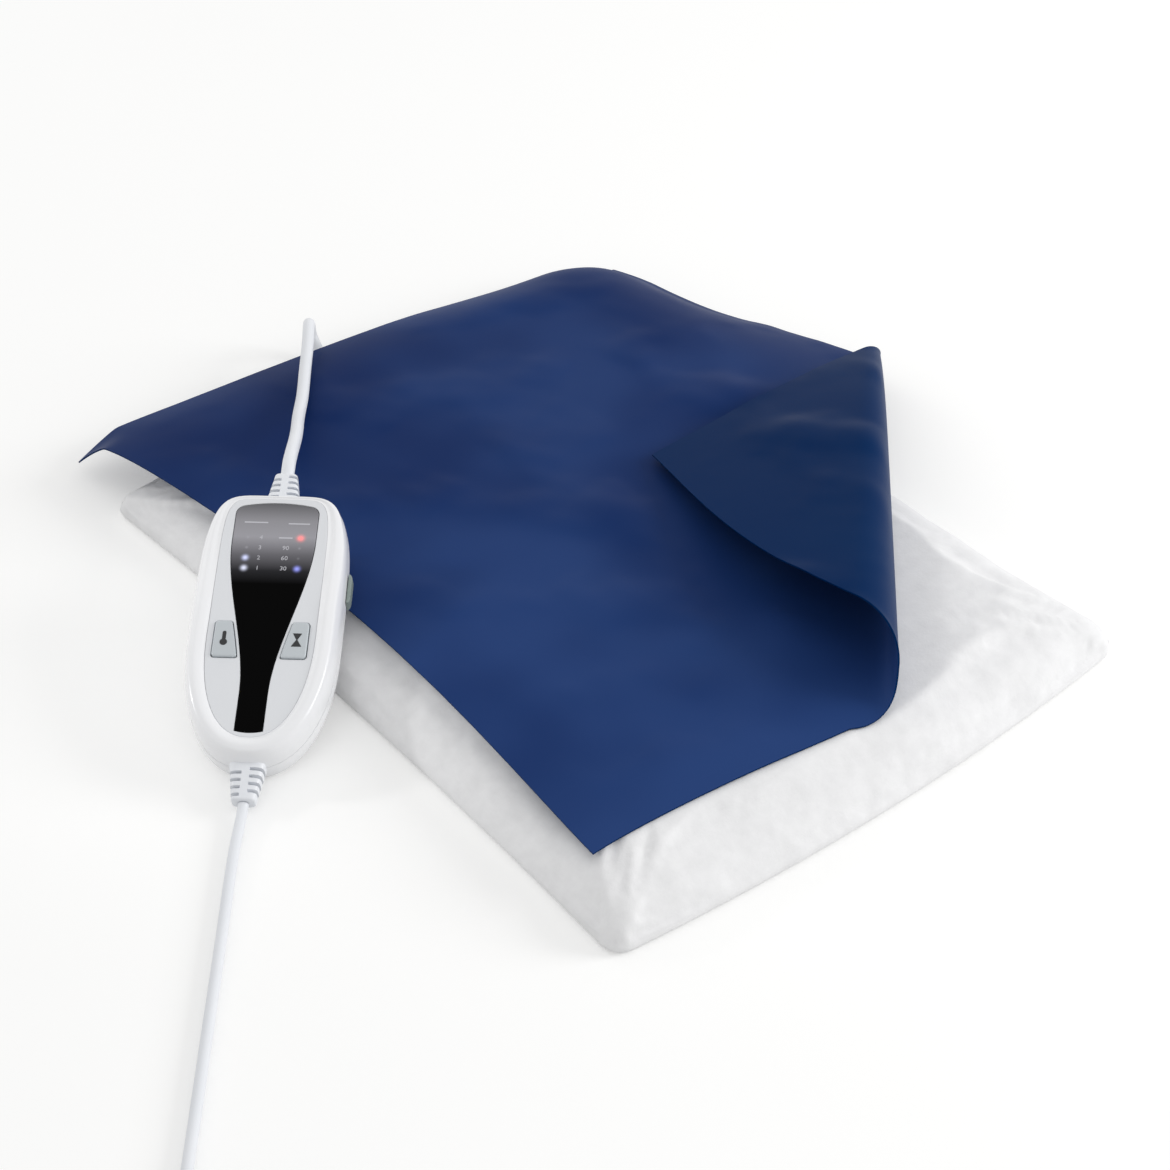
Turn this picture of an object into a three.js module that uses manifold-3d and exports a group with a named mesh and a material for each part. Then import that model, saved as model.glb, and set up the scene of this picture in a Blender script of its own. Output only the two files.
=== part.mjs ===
// Electric heating pad with a hand controller, a loose moisture cover and its two cords.
// Millimetres, +Z up. X runs along the pad, Y across it, and the origin is the middle of its underside.
import * as THREE from 'three';
import Module from 'manifold-3d';
import { mergeVertices } from 'three/addons/utils/BufferGeometryUtils.js';

const wasm = await Module();
wasm.setup();

// Clearances
const GAP = 0.3; // between pieces that touch
const RUN = 0.35; // round a piece that slides

// Fleece pad
const PAD_LENGTH = 400;
const PAD_WIDTH = 310;
const PAD_CORNER = 9; // plan radius of the corners
const PAD_SIDE_SWELL = 9; // how far the +X side bulges at its middle
const PAD_FRONT_DRAWN = 6; // how far the -Y side is drawn in at its middle
const PAD_RIM_HEIGHT = 24.4; // top of the rounded edge
const PAD_CROWN = 1.4; // how much higher the middle stands
const PAD_SEAM_HEIGHT = 5; // where the two fleece layers are sewn together
const PAD_EDGE_ROUND = 19; // depth of the rounded upper edge
const PAD_FOOT_ROUND = 2.5; // depth of the rounded lower edge
const PAD_HEM = 18; // sewn width round the heater pocket
const POCKET_ABOVE = 6.6; // pocket depth in the upper layer
const POCKET_BELOW = 2.2; // pocket depth in the lower layer

// Heater in the pocket
const FELT_THICKNESS = 1.6;
const WIRE_DIAMETER = 2.4;
const WIRE_RUNS = 10;
const WIRE_BORDER = 30; // from the pad's edge to the outer runs
const WIRE_LEAD_INSET = 38; // from the pad's end to the lead that runs along it
const THERMOSTAT_SIZE = [14, 7, 4.4];
const TERMINAL_SIZE = [24, 26, 5];
const TERMINAL_INSET = 26; // from the pad's end to the terminal block

// Gland in the pad's end
const GLAND_HEIGHT = 8;
const GLAND_DIAMETER = 12.5;
const GLAND_TIP_DIAMETER = 9;
const GLAND_OUTSIDE = 18;
const GLAND_INSIDE = 19;

// Moisture cover: corners of the cut, the folded corner's cone and how its overhangs fall
const SHEET_THICKNESS = 0.8;
const SHEET_FRONT = new THREE.Vector2(166, -138);
const SHEET_LEFT = new THREE.Vector2(-241, -146.6);
const SHEET_BACK = new THREE.Vector2(-226, 208);
const SHEET_FRONT_BOW = 17.5; // how far the front edge is drawn in
const SHEET_RIGHT_BOW = 33; // how far the right edge swells
const ROLL_NEAR_RADIUS = 19;
const ROLL_FAR_RADIUS = 8;
const ROLL_NEAR = new THREE.Vector2(179, 26); // outermost line of the roll
const ROLL_FAR = new THREE.Vector2(-30, 226);
const ROLL_TURN = 1.06 * Math.PI; // how far the cloth goes round before it runs straight
const ROLL_PINCH = 1.6; // how much squarer than a circle its lower bend is at the wide end
const FLAP_TIP = new THREE.Vector2(-29, 62);
const FLAP_LIFT = 1.9; // of the folded layer over the lower one
const CURL_REACH = 20; // of the drooping left corner
const CURL_DROP = 11;
const FALL_BACK = 60; // radius that the overhang falls over at the back corner
const FALL_BESIDE_ROLL = 340;
const FALL_LEFT = 150;
const FALL_LEFT_BACK = 45;
const FALL_STEEPEST = 1.08; // radians
const FALL_INSET = 9; // the overhang starts to fall this far inside the pad's outline

// Controller housing, in its own frame: x across, y from its lower end to its upper end, z out of its face
const HAND_LENGTH = 142;
const HAND_WIDTH = 69;
const HAND_WIDEST = 64; // from the lower end
const HAND_TOP_POWER = 5; // squareness of the upper end
const HAND_LOW_POWER = 2.25; // roundness of the lower end
const HAND_WALL = 2;
const HAND_PARTING = 13; // height of the seam between the shells
const HAND_FACE = 24; // height of the inset face
const HAND_RIM = 1.7; // how far the rounded rim stands over the face
const HAND_RIM_FADE = [72, 118]; // the rim runs out between these
const HAND_SOLE_ROUND = 7; // rounding of the underside's edge
const FACE_SIDE_INSET = 9.7;
const FACE_LOW_INSET = 10;
const FACE_TOP_INSET = 3.4;
const FACE_TOP_POWER = 8; // its upper end is squarer than the housing's
const FACE_THICKNESS = 2.4;
const FACE_LEDGE = 2; // width of the ledge under the face plate
const LEDGE_THICKNESS = 1.8;

// Display window: a black lens that narrows to a waist, like a tie
const WINDOW_FROM_TOP = 6; // from the housing's upper end
const WINDOW_LOW = 13.5;
const WINDOW_TOP_HALF = 19.3;
const WINDOW_LOW_HALF = 6.2;
const WINDOW_NARROWS = [32, 115]; // the sides run in between these
const WINDOW_TOP_ARCH = 1.6;
const WINDOW_CORNER = 4.5;
const WINDOW_THICKNESS = 1.3;
const WINDOW_PROUD = 0.15;

// Keys
const KEY_LOW = 51;
const KEY_HIGH = 70;
const KEY_TO_RIM = 3.4; // from the outer side to the face plate's edge
const KEY_TO_WINDOW = 1.9;
const KEY_PROUD = 1;
const KEY_FLANGE = 0.9;
const KEY_FLANGE_THICKNESS = 1;
const KEY_TRAVEL = 0.6;

// Lamps
const LED_RADIUS = 1.5;
const LED_FLANGE = 0.4;
const LED_COLUMN = 12.3; // from the middle
const LED_FROM_TOP = 25.5; // from the housing's upper end to the top row
const LED_PITCH = 5.7;
const LED_ROWS = 4;

// Circuit board and what stands on it
const BOARD_SIDE_INSET = 13.3; // from the housing's side
const BOARD_LOW = 24;
const BOARD_FROM_TOP = 20;
const BOARD_UNDERSIDE = 12.2;
const BOARD_THICKNESS = 1.6;
const TACT_SIZE = 6.2;
const TACT_HEIGHT = 3;
const TACT_PLUNGER = 1.7; // radius
const TACT_WALL = 0.9; // floor of the switch under its plunger

// Power slide switch in the right-hand wall
const SLIDER_FROM_TOP = 45; // from the housing's upper end
const SLIDER_LENGTH = 16;
const SLIDER_HEIGHT = 7;
const SLIDER_PROUD = 1.8;
const SLIDER_STEM = [3.2, 3]; // along the housing, and up
const SLIDER_TRAVEL = 4;
const SLIDE_BODY = [9, 15, 5.2];

// Screws
const SCREW_SIDE_INSET = 9.5; // from the housing's side
const SCREW_LOW = 42;
const SCREW_FROM_TOP = 28;
const SCREW_RADIUS = 1.3;
const SCREW_HEAD_RADIUS = 2.5;
const SCREW_HEAD = 1.6;
const SCREW_SUNK = 1.2;
const SCREW_TIP = 18;
const POST_RADIUS = 3.9;

// Strain reliefs on the housing
const BOOT_BASE = [16, 11];
const BOOT_TIP = [11, 8.4];
const BOOT_LENGTH = 17; // outside
const BOOT_INSIDE = 5.5;
const BOOT_FLANGE = 1.6;
const BOOT_FLANGE_OVER = [2.4, 1]; // wider and higher than the base
const BOOT_SLOTS = 4;
const BOOT_SLOT = 1.5;
const BOOT_SPINE = 3.4; // solid middle between the slots

// Where the controller lies
const HAND_FOOT = new THREE.Vector2(14.5, -210); // under its lower end
const HAND_HEADING = THREE.MathUtils.degToRad(138.3);
const HAND_TILT = THREE.MathUtils.degToRad(18); // it leans on the pad and presses its edge in

// Cords
const PAD_CORD_DIAMETER = 6.5;
const MAINS_CORD_DIAMETER = 5;
const MAINS_DROP = 29; // from the strain relief to where the mains cord meets the floor
const CORD_SIDES = 8;

// Put-away coil of the mains cord, its tie and plug
const COIL_CENTRE = new THREE.Vector2(249, -350);
const COIL_IN_HEADING = new THREE.Vector2(0.7743, -0.635).normalize();
const COIL_OUTER = 40; // radius of the outermost turn
const COIL_TURNS = 7.25;
const COIL_PITCH = 5.6; // between turns, across and up
const COIL_LIFT = 1.6; // the tie passes below
const COIL_STEPS = 24;
const COIL_SIDES = 6;
const COIL_TAIL = 26;
const TIE_WIDTH = 8;
const TIE_THICKNESS = 1;
const TIE_ROOM = 0.6;
const TIE_ANGLE = 2.2; // round the coil, in radians from where the cord comes in
const PLUG_LENGTH = 36;
const PLUG_WIDTH = 35;
const PLUG_THICKNESS = 13.6;
const PLUG_WAIST = 24; // width at the cord's end
const PLUG_PIN_RADIUS = 2;
const PLUG_PIN_LENGTH = 19;
const PLUG_PIN_SPACING = 18.6;
const PLUG_PIN_SEAT = 5; // how deep a pin sits in the body
const PLUG_BOOT_LENGTH = 22;
const PLUG_BOOT_BASE = 10;
const PLUG_BOOT_TIP = 7;

const COLOURS = {
  fleece: { color: 0xf1f1ef, roughness: 0.95, metalness: 0 },
  felt: { color: 0xdedad2, roughness: 0.95, metalness: 0 },
  wire: { color: 0xd9c7a6, roughness: 0.6, metalness: 0 },
  cover: { color: 0x22366b, roughness: 0.55, metalness: 0 },
  shell: { color: 0xf3f3f4, roughness: 0.25, metalness: 0 },
  face: { color: 0xd9dbde, roughness: 0.45, metalness: 0 },
  window: { color: 0x060606, roughness: 0.08, metalness: 0 },
  key: { color: 0x9aa0a2, roughness: 0.4, metalness: 0 },
  slider: { color: 0x87908f, roughness: 0.45, metalness: 0 },
  lamp: { color: 0xdfe7f2, roughness: 0.2, metalness: 0 },
  board: { color: 0x1f5a34, roughness: 0.6, metalness: 0 },
  component: { color: 0x222326, roughness: 0.5, metalness: 0 },
  film: { color: 0xc9a227, roughness: 0.5, metalness: 0 },
  steel: { color: 0xc4c6c8, roughness: 0.3, metalness: 1 },
  cord: { color: 0xeeeef0, roughness: 0.5, metalness: 0 },
  tie: { color: 0x2a2a2c, roughness: 0.7, metalness: 0 },
};
const materials = Object.fromEntries(
  Object.entries(COLOURS).map(([name, look]) => [name, new THREE.MeshStandardMaterial(look)]),
);

const smooth = THREE.MathUtils.smoothstep;
const lerp = THREE.MathUtils.lerp;
const V3 = (x, y, z) => new THREE.Vector3(x, y, z);

function piece(name, geometry, look) {
  const made = new THREE.Mesh(geometry, materials[look]);
  made.name = name;
  return made;
}

// Signed volume of an indexed geometry, to turn a skin the right way out
function volumeOf(geometry) {
  const at = geometry.getAttribute('position');
  const order = geometry.getIndex();
  const [a, b, c] = [V3(), V3(), V3()];
  let sum = 0;
  for (let i = 0; i < order.count; i += 3) {
    a.fromBufferAttribute(at, order.getX(i));
    b.fromBufferAttribute(at, order.getX(i + 1));
    c.fromBufferAttribute(at, order.getX(i + 2));
    sum += a.dot(b.cross(c)) / 6;
  }
  return sum;
}

function facing(positions, order) {
  const geometry = new THREE.BufferGeometry();
  geometry.setAttribute('position', new THREE.Float32BufferAttribute(positions, 3));
  geometry.setIndex(order);
  if (volumeOf(geometry) < 0) {
    for (let i = 0; i < order.length; i += 3) [order[i], order[i + 1]] = [order[i + 1], order[i]];
    geometry.setIndex(order);
  }
  geometry.computeVertexNormals();
  return geometry;
}

// A skin through rings of equally many points: capped at both ends, or closed on itself
function loft(rings, closed = false) {
  const count = rings[0].length;
  const positions = rings.flat().flatMap((p) => [p.x, p.y, p.z]);
  const order = [];
  const last = closed ? rings.length : rings.length - 1;
  for (let i = 0; i < last; i++) {
    const next = (i + 1) % rings.length;
    for (let j = 0; j < count; j++) {
      const k = (j + 1) % count;
      order.push(i * count + j, i * count + k, next * count + k);
      order.push(i * count + j, next * count + k, next * count + j);
    }
  }
  if (!closed) {
    for (const [ring, flip] of [[0, true], [rings.length - 1, false]]) {
      const middle = rings[ring].reduce((sum, p) => sum.add(p), V3(0, 0, 0)).divideScalar(count);
      const hub = positions.length / 3;
      positions.push(middle.x, middle.y, middle.z);
      for (let j = 0; j < count; j++) {
        const [a, b] = [ring * count + j, ring * count + ((j + 1) % count)];
        if (flip) order.push(hub, b, a);
        else order.push(hub, a, b);
      }
    }
  }
  return facing(positions, order);
}

function solid(geometry) {
  const bare = geometry.clone();
  bare.deleteAttribute('normal');
  bare.deleteAttribute('uv');
  const merged = mergeVertices(bare, 1e-4);
  return new wasm.Manifold(new wasm.Mesh({
    numProp: 3,
    vertProperties: new Float32Array(merged.getAttribute('position').array),
    triVerts: new Uint32Array(merged.getIndex().array),
  }));
}

function skinOf(body) {
  const mesh = body.getMesh();
  return facing(Array.from(mesh.vertProperties), Array.from(mesh.triVerts));
}

function cut(geometry, tools, joins = []) {
  let body = solid(geometry);
  for (const join of joins) body = body.add(solid(join));
  for (const tool of tools) body = body.subtract(solid(tool));
  return skinOf(body);
}

function box(size, centre) {
  return new THREE.BoxGeometry(...size).translate(...centre);
}

// A cylinder from one height to another
function post(radius, low, high, x, y, sides = 16) {
  const made = new THREE.CylinderGeometry(radius, radius, high - low, sides);
  return made.rotateX(Math.PI / 2).translate(x, y, (low + high) / 2);
}

// An extruded flat outline, from one height to another
function slab(shape, low, high, segments = 6) {
  const settings = { depth: high - low, bevelEnabled: false, curveSegments: segments };
  return new THREE.ExtrudeGeometry(shape, settings).translate(0, 0, low);
}

function roundedShape(halfX, halfY, radius, x = 0, y = 0) {
  const r = Math.min(radius, halfX, halfY);
  const shape = new THREE.Shape();
  shape.moveTo(x + halfX - r, y - halfY);
  shape.absarc(x + halfX - r, y - halfY + r, r, -Math.PI / 2, 0);
  shape.absarc(x + halfX - r, y + halfY - r, r, 0, Math.PI / 2);
  shape.absarc(x - halfX + r, y + halfY - r, r, Math.PI / 2, Math.PI);
  shape.absarc(x - halfX + r, y - halfY + r, r, Math.PI, 1.5 * Math.PI);
  shape.closePath();
  return shape;
}

// A route through given points, one tube step for each
class Route extends THREE.Curve {
  constructor(points) {
    super();
    this.points = points;
  }
  getPoint(t, target = V3()) {
    const at = t * (this.points.length - 1);
    const i = Math.min(Math.floor(at + 1e-9), this.points.length - 2);
    return target.lerpVectors(this.points[i], this.points[i + 1], at - i);
  }
  getPointAt(u, target) {
    return this.getPoint(u, target);
  }
  getTangent(t, target = V3()) {
    const at = Math.round(t * (this.points.length - 1));
    const before = this.points[Math.max(at - 1, 0)];
    const after = this.points[Math.min(at + 1, this.points.length - 1)];
    return target.subVectors(after, before).normalize();
  }
  getTangentAt(u, target) {
    return this.getTangent(u, target);
  }
}

function circle(radius, sides) {
  const corners = Array.from({ length: sides }, (_, i) => {
    const turn = (2 * Math.PI * (i + 0.5)) / sides;
    return new THREE.Vector2(radius * Math.cos(turn), radius * Math.sin(turn));
  });
  return new THREE.Shape(corners);
}

function tube(points, radius, sides) {
  const settings = { steps: points.length - 1, extrudePath: new Route(points), bevelEnabled: false };
  const bare = new THREE.ExtrudeGeometry(circle(radius, sides), settings);
  bare.deleteAttribute('normal');
  bare.deleteAttribute('uv');
  const merged = mergeVertices(bare, 1e-4);
  return facing(Array.from(merged.getAttribute('position').array), Array.from(merged.getIndex().array));
}

// Evenly spaced points on a smooth curve, with the two ends straight
function laid(points, step) {
  const curve = new THREE.CatmullRomCurve3(points, false, 'centripetal');
  return curve.getSpacedPoints(Math.max(4, Math.round(curve.getLength() / step)));
}

// Pad

const padHalfX = PAD_LENGTH / 2;
const padHalfY = PAD_WIDTH / 2;
const CORNER_STEPS = 4;
const SIDE_STEPS = [6, 6];

// The sides aren't quite straight: one swells and one is drawn in
function bowed(p) {
  const [u, v] = [p.x / padHalfX, p.y / padHalfY];
  const swell = PAD_SIDE_SWELL * Math.max(u, 0) ** 2 * Math.max(0, 1 - v * v);
  const drawn = PAD_FRONT_DRAWN * Math.max(-v, 0) ** 2 * Math.max(0, 1 - u * u);
  return V3(p.x + swell, p.y + drawn, p.z);
}

// The pad's outline drawn in by an inset, always with the same count of points
function padOutline(inset, z) {
  const [hx, hy] = [padHalfX - inset, padHalfY - inset];
  const r = Math.max(PAD_CORNER - inset, 3);
  const points = [];
  for (let side = 0; side < 4; side++) {
    const cx = (side === 0 || side === 3 ? 1 : -1) * (hx - r);
    const cy = (side < 2 ? 1 : -1) * (hy - r);
    for (let i = 0; i <= CORNER_STEPS; i++) {
      const turn = (side + i / CORNER_STEPS) * (Math.PI / 2);
      points.push(V3(cx + r * Math.cos(turn), cy + r * Math.sin(turn), z));
    }
    const nx = (side === 1 || side === 0 ? -1 : 1) * (hx - r);
    const ny = (side === 0 || side === 3 ? 1 : -1) * (hy - r);
    const from = points[points.length - 1];
    const to = side % 2 === 0 ? V3(nx, from.y, z) : V3(from.x, ny, z);
    const steps = SIDE_STEPS[side % 2];
    for (let i = 1; i < steps; i++) points.push(V3().lerpVectors(from, to, i / steps));
  }
  return points.map(bowed);
}

function crown(x, y) {
  const [u, v] = [x / padHalfX, y / padHalfY];
  return PAD_CROWN * Math.max(0, 1 - u * u) * Math.max(0, 1 - v * v);
}

// How far a plan point lies inside the pad's outline
function insidePad(x, y, inset = 0) {
  const r = Math.max(PAD_CORNER - inset, 3);
  const qx = Math.abs(x) - (padHalfX - inset - r);
  const qy = Math.abs(y) - (padHalfY - inset - r);
  const out = Math.hypot(Math.max(qx, 0), Math.max(qy, 0)) + Math.min(Math.max(qx, qy), 0);
  return r - out;
}

const seamUp = PAD_SEAM_HEIGHT + GAP / 2;
const seamDown = PAD_SEAM_HEIGHT - GAP / 2;
const EDGE_STEPS = 5;
const TOP_RINGS = 3;

function padUpper() {
  const rings = [padOutline(PAD_HEM, seamUp + POCKET_ABOVE), padOutline(PAD_HEM, seamUp)];
  for (let i = 0; i <= EDGE_STEPS; i++) {
    const turn = (i / EDGE_STEPS) * (Math.PI / 2);
    const inset = PAD_EDGE_ROUND * (1 - Math.cos(turn));
    const ring = padOutline(inset, seamUp + (PAD_RIM_HEIGHT - seamUp) * Math.sin(turn));
    if (i === EDGE_STEPS) ring.forEach((p) => { p.z += crown(p.x, p.y); });
    rings.push(ring);
  }
  const rim = rings[rings.length - 1];
  for (let i = 1; i <= TOP_RINGS; i++) {
    const share = 1 - i / (TOP_RINGS + 0.6);
    rings.push(rim.map((p) => {
      const [x, y] = [p.x * share, p.y * share];
      return V3(x, y, PAD_RIM_HEIGHT + crown(x, y));
    }));
  }
  return loft(rings);
}

function padLower() {
  const rings = [padOutline(PAD_HEM, seamDown - POCKET_BELOW), padOutline(PAD_HEM, seamDown)];
  const steps = 2;
  for (let i = 0; i <= steps; i++) {
    const turn = (i / steps) * (Math.PI / 2);
    rings.push(padOutline(PAD_FOOT_ROUND * (1 - Math.cos(turn)), seamDown * (1 - Math.sin(turn))));
  }
  return loft(rings);
}

const glandEnd = -padHalfX - GLAND_OUTSIDE;
const glandInner = -padHalfX + GLAND_INSIDE;

// A round bar along X
function barX(radius, from, to, z, sides = 20) {
  const made = new THREE.CylinderGeometry(radius, radius, to - from, sides);
  return made.rotateZ(Math.PI / 2).translate((from + to) / 2, 0, z);
}

const glandHole = barX(GLAND_DIAMETER / 2 + GAP, glandEnd, glandInner + GAP, GLAND_HEIGHT);

// Tapered sleeve with ring grooves and a flange behind the hem
function gland() {
  const [base, tip] = [GLAND_DIAMETER / 2, GLAND_TIP_DIAMETER / 2];
  const flangeAt = GLAND_INSIDE + GLAND_OUTSIDE;
  const profile = [new THREE.Vector2(0, 0), new THREE.Vector2(tip, 0)];
  const grooves = 3;
  for (let i = 0; i < grooves; i++) {
    const y = 3 + i * 4;
    const r = lerp(tip, base, y / GLAND_OUTSIDE);
    profile.push(new THREE.Vector2(r, y), new THREE.Vector2(r - 1, y + 0.3));
    profile.push(new THREE.Vector2(r - 1, y + 1.7), new THREE.Vector2(r + 0.3, y + 2));
  }
  profile.push(new THREE.Vector2(base, GLAND_OUTSIDE), new THREE.Vector2(base, flangeAt));
  profile.push(new THREE.Vector2(0, flangeAt));
  const made = new THREE.LatheGeometry(profile, 14);
  return made.rotateZ(-Math.PI / 2).translate(glandEnd, 0, GLAND_HEIGHT);
}

const feltLow = seamDown - POCKET_BELOW + GAP;
const feltTop = feltLow + FELT_THICKNESS;
const feltInset = PAD_HEM + 2;

function felt() {
  const outline = padOutline(feltInset, 0).map((p) => new THREE.Vector2(p.x, p.y));
  return slab(new THREE.Shape(outline), feltLow, feltTop);
}

// Heating wire laid to and fro on the felt, from one side of the terminal block to the other
const wireHeight = feltTop + GAP + WIRE_DIAMETER / 2;
const wireLead = -padHalfX + WIRE_LEAD_INSET;
const terminalX = -padHalfX + TERMINAL_INSET + TERMINAL_SIZE[0] / 2;

function wirePoints() {
  const reach = padHalfY - WIRE_BORDER;
  const pitch = (2 * reach) / (WIRE_RUNS - 1);
  const turn = pitch / 2;
  const far = padHalfX - WIRE_BORDER - turn;
  const near = wireLead + 2 * turn + WIRE_DIAMETER;
  const points = [V3(wireLead, -TERMINAL_SIZE[1] / 2 - GAP, wireHeight)];
  const bend = (cx, cy, from, to, steps) => {
    for (let i = 0; i <= steps; i++) {
      const a = lerp(from, to, i / steps);
      points.push(V3(cx + turn * Math.cos(a), cy + turn * Math.sin(a), wireHeight));
    }
  };
  bend(wireLead + turn, -reach + turn, Math.PI, 1.5 * Math.PI, 2);
  for (let run = 0; run < WIRE_RUNS - 1; run++) {
    const cy = -reach + run * pitch + turn;
    if (run % 2 === 0) bend(far, cy, -Math.PI / 2, Math.PI / 2, 4);
    else bend(near, cy, 1.5 * Math.PI, Math.PI / 2, 4);
  }
  bend(wireLead + turn, reach - turn, Math.PI / 2, Math.PI, 2);
  points.push(V3(wireLead, TERMINAL_SIZE[1] / 2 + GAP, wireHeight));
  return points;
}

// Moisture cover

const sheetMiddle = SHEET_THICKNESS / 2 + 2 * GAP; // height of its middle surface over the pad

const roll = (() => {
  const along = ROLL_FAR.clone().sub(ROLL_NEAR).normalize();
  const out = new THREE.Vector2(along.y, -along.x);
  const near = ROLL_NEAR.clone().addScaledVector(out, -ROLL_NEAR_RADIUS);
  const far = ROLL_FAR.clone().addScaledVector(out, -ROLL_FAR_RADIUS);
  const span = near.distanceTo(far);
  const sine = (ROLL_NEAR_RADIUS - ROLL_FAR_RADIUS) / span;
  const forward = near.clone().sub(far).divideScalar(span);
  const apex = far.clone().addScaledVector(forward, -ROLL_FAR_RADIUS / sine);
  let side = new THREE.Vector2(-forward.y, forward.x);
  if (side.dot(out) < 0) side = side.negate();
  const tip = FLAP_TIP.clone().sub(apex);
  const turned = Math.atan2(-tip.dot(side), tip.dot(forward)) + ROLL_TURN * sine;
  const corner = apex.clone().addScaledVector(forward, tip.length() * Math.cos(turned));
  corner.addScaledVector(side, tip.length() * Math.sin(turned));
  return { sine, cosine: Math.sqrt(1 - sine * sine), forward, side, apex, corner };
})();

// Flat point of the cut: p runs along the front edge from the left corner, q towards the back
function cutPoint(p, q) {
  const front = SHEET_LEFT.clone().lerp(SHEET_FRONT, p);
  const back = SHEET_BACK.clone().lerp(roll.corner, p);
  const at = front.lerp(back, q);
  const drawn = Math.max(0, 1 - q / 0.45);
  at.y += SHEET_FRONT_BOW * Math.max(0, Math.sin(Math.PI * p)) ** 1.1 * drawn * drawn;
  at.x += SHEET_RIGHT_BOW * p * p * Math.max(0, Math.sin(Math.PI * q ** 1.4)) ** 1.1;
  return at;
}

function fallRadius(x, y) {
  const logistic = (t) => 1 / (1 + Math.exp(-t));
  const left = lerp(FALL_LEFT, FALL_LEFT_BACK, logistic((y - 60) / 30));
  if (y <= 0) return left;
  const back = lerp(FALL_BACK, FALL_BESIDE_ROLL, logistic((x + 75) / 30));
  const past = Math.abs(x) - padHalfX - (y - padHalfY);
  return lerp(back, left, logistic(past / 8));
}

// Where a flat point comes to lie on the pad, or falls to past its edge
function drape(x, y) {
  const radius = fallRadius(x, y);
  const past = Math.max(-insidePad(x, y, FALL_INSET), 0);
  const step = 0.5;
  const away = new THREE.Vector2(
    insidePad(x - step, y, FALL_INSET) - insidePad(x + step, y, FALL_INSET),
    insidePad(x, y - step, FALL_INSET) - insidePad(x, y + step, FALL_INSET),
  ).normalize();
  const turn = Math.min(past / radius, FALL_STEEPEST);
  const rest = Math.max(past - FALL_STEEPEST * radius, 0);
  const plan = radius * Math.sin(turn) + rest * Math.cos(FALL_STEEPEST);
  const drop = radius * (1 - Math.cos(turn)) + rest * Math.sin(FALL_STEEPEST);
  const top = PAD_RIM_HEIGHT + crown(x, y) + sheetMiddle;
  const floor = SHEET_THICKNESS / 2 + 2 * GAP;
  const soft = 4;
  const over = top - drop - floor;
  const z = floor + (over > 8 * soft ? over : soft * Math.log1p(Math.exp(over / soft)));
  return V3(x + away.x * (plan - past), y + away.y * (plan - past), z);
}

// Middle surface of the cover at a flat point
function coverPoint(flat) {
  const { sine, cosine, forward, side, apex } = roll;
  const from = flat.clone().sub(apex);
  const reach = from.length();
  const angle = Math.atan2(from.dot(side), from.dot(forward));
  const curl = Math.max(0, 1 - flat.distanceTo(SHEET_LEFT) / CURL_REACH) ** 1.2;
  if (angle <= 0) {
    const at = drape(flat.x, flat.y);
    return at.add(V3(0, -4 * curl, -CURL_DROP * curl));
  }
  const g = V3(forward.x, forward.y, 0);
  const n = V3(side.x, side.y, 0);
  const axis = g.clone().multiplyScalar(cosine).add(V3(0, 0, sine));
  const up = g.clone().multiplyScalar(-sine).add(V3(0, 0, cosine));
  const turn = Math.min(angle / sine, ROLL_TURN);
  const rest = Math.max(angle - ROLL_TURN * sine, 0);
  const ray = axis.clone().multiplyScalar(cosine);
  const wide = THREE.MathUtils.smoothstep(reach * sine, ROLL_FAR_RADIUS + 2, ROLL_NEAR_RADIUS);
  const power = turn < Math.PI / 2 ? 2 / (2 + ROLL_PINCH * wide) : 1;
  const [fall, swing] = [Math.cos(turn), Math.sin(turn)].map((v) => Math.sign(v) * Math.abs(v) ** power);
  ray.addScaledVector(up, -sine * fall).addScaledVector(n, sine * swing);
  const onward = up.clone().multiplyScalar(Math.sin(turn)).addScaledVector(n, Math.cos(turn));
  const at = ray.multiplyScalar(Math.cos(rest)).addScaledVector(onward, Math.sin(rest));
  at.multiplyScalar(reach).add(V3(apex.x, apex.y, 0));
  const along = at.clone().sub(V3(apex.x, apex.y, 0)).dot(g);
  const root = apex.clone().addScaledVector(forward, along);
  const fallen = drape(root.x, root.y);
  const stay = Math.min(Math.max(1 - (rest * reach) / 110, 0), 1);
  at.x += (fallen.x - root.x) * stay;
  at.y += (fallen.y - root.y) * stay;
  at.z += fallen.z;
  if (rest > 0) {
    const least = drape(at.x, at.y).z + FLAP_LIFT;
    const soft = 1.2;
    const over = at.z - least;
    at.z = least + (over > 8 * soft ? over : soft * Math.log1p(Math.exp(over / soft)));
  }
  return at;
}

// The cut's boundary, and where a ray from the roll's apex crosses it
const COVER_EDGE_STEPS = 60;
const coverEdge = (() => {
  const edge = [];
  const steps = COVER_EDGE_STEPS;
  for (let i = 0; i < steps; i++) edge.push(cutPoint(i / steps, 0));
  for (let i = 0; i < steps; i++) edge.push(cutPoint(1, i / steps));
  for (let i = 0; i < steps; i++) edge.push(cutPoint(1 - i / steps, 1));
  for (let i = 0; i < steps; i++) edge.push(cutPoint(0, 1 - i / steps));
  return edge;
})();

function angleOf(flat) {
  const from = flat.clone().sub(roll.apex);
  return Math.atan2(from.dot(roll.side), from.dot(roll.forward));
}

function crossings(angle) {
  const found = [];
  coverEdge.forEach((a, i) => {
    const b = coverEdge[(i + 1) % coverEdge.length];
    const [ta, tb] = [angleOf(a) - angle, angleOf(b) - angle];
    if ((ta <= 0) === (tb <= 0)) return;
    found.push(a.clone().lerp(b, ta / (ta - tb)).distanceTo(roll.apex));
  });
  return [Math.min(...found), Math.max(...found)];
}

const COVER_COLUMNS = 13;
const COVER_ROWS = { flap: 6, roll: 9, right: 3, front: 9, left: 6 };

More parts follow.
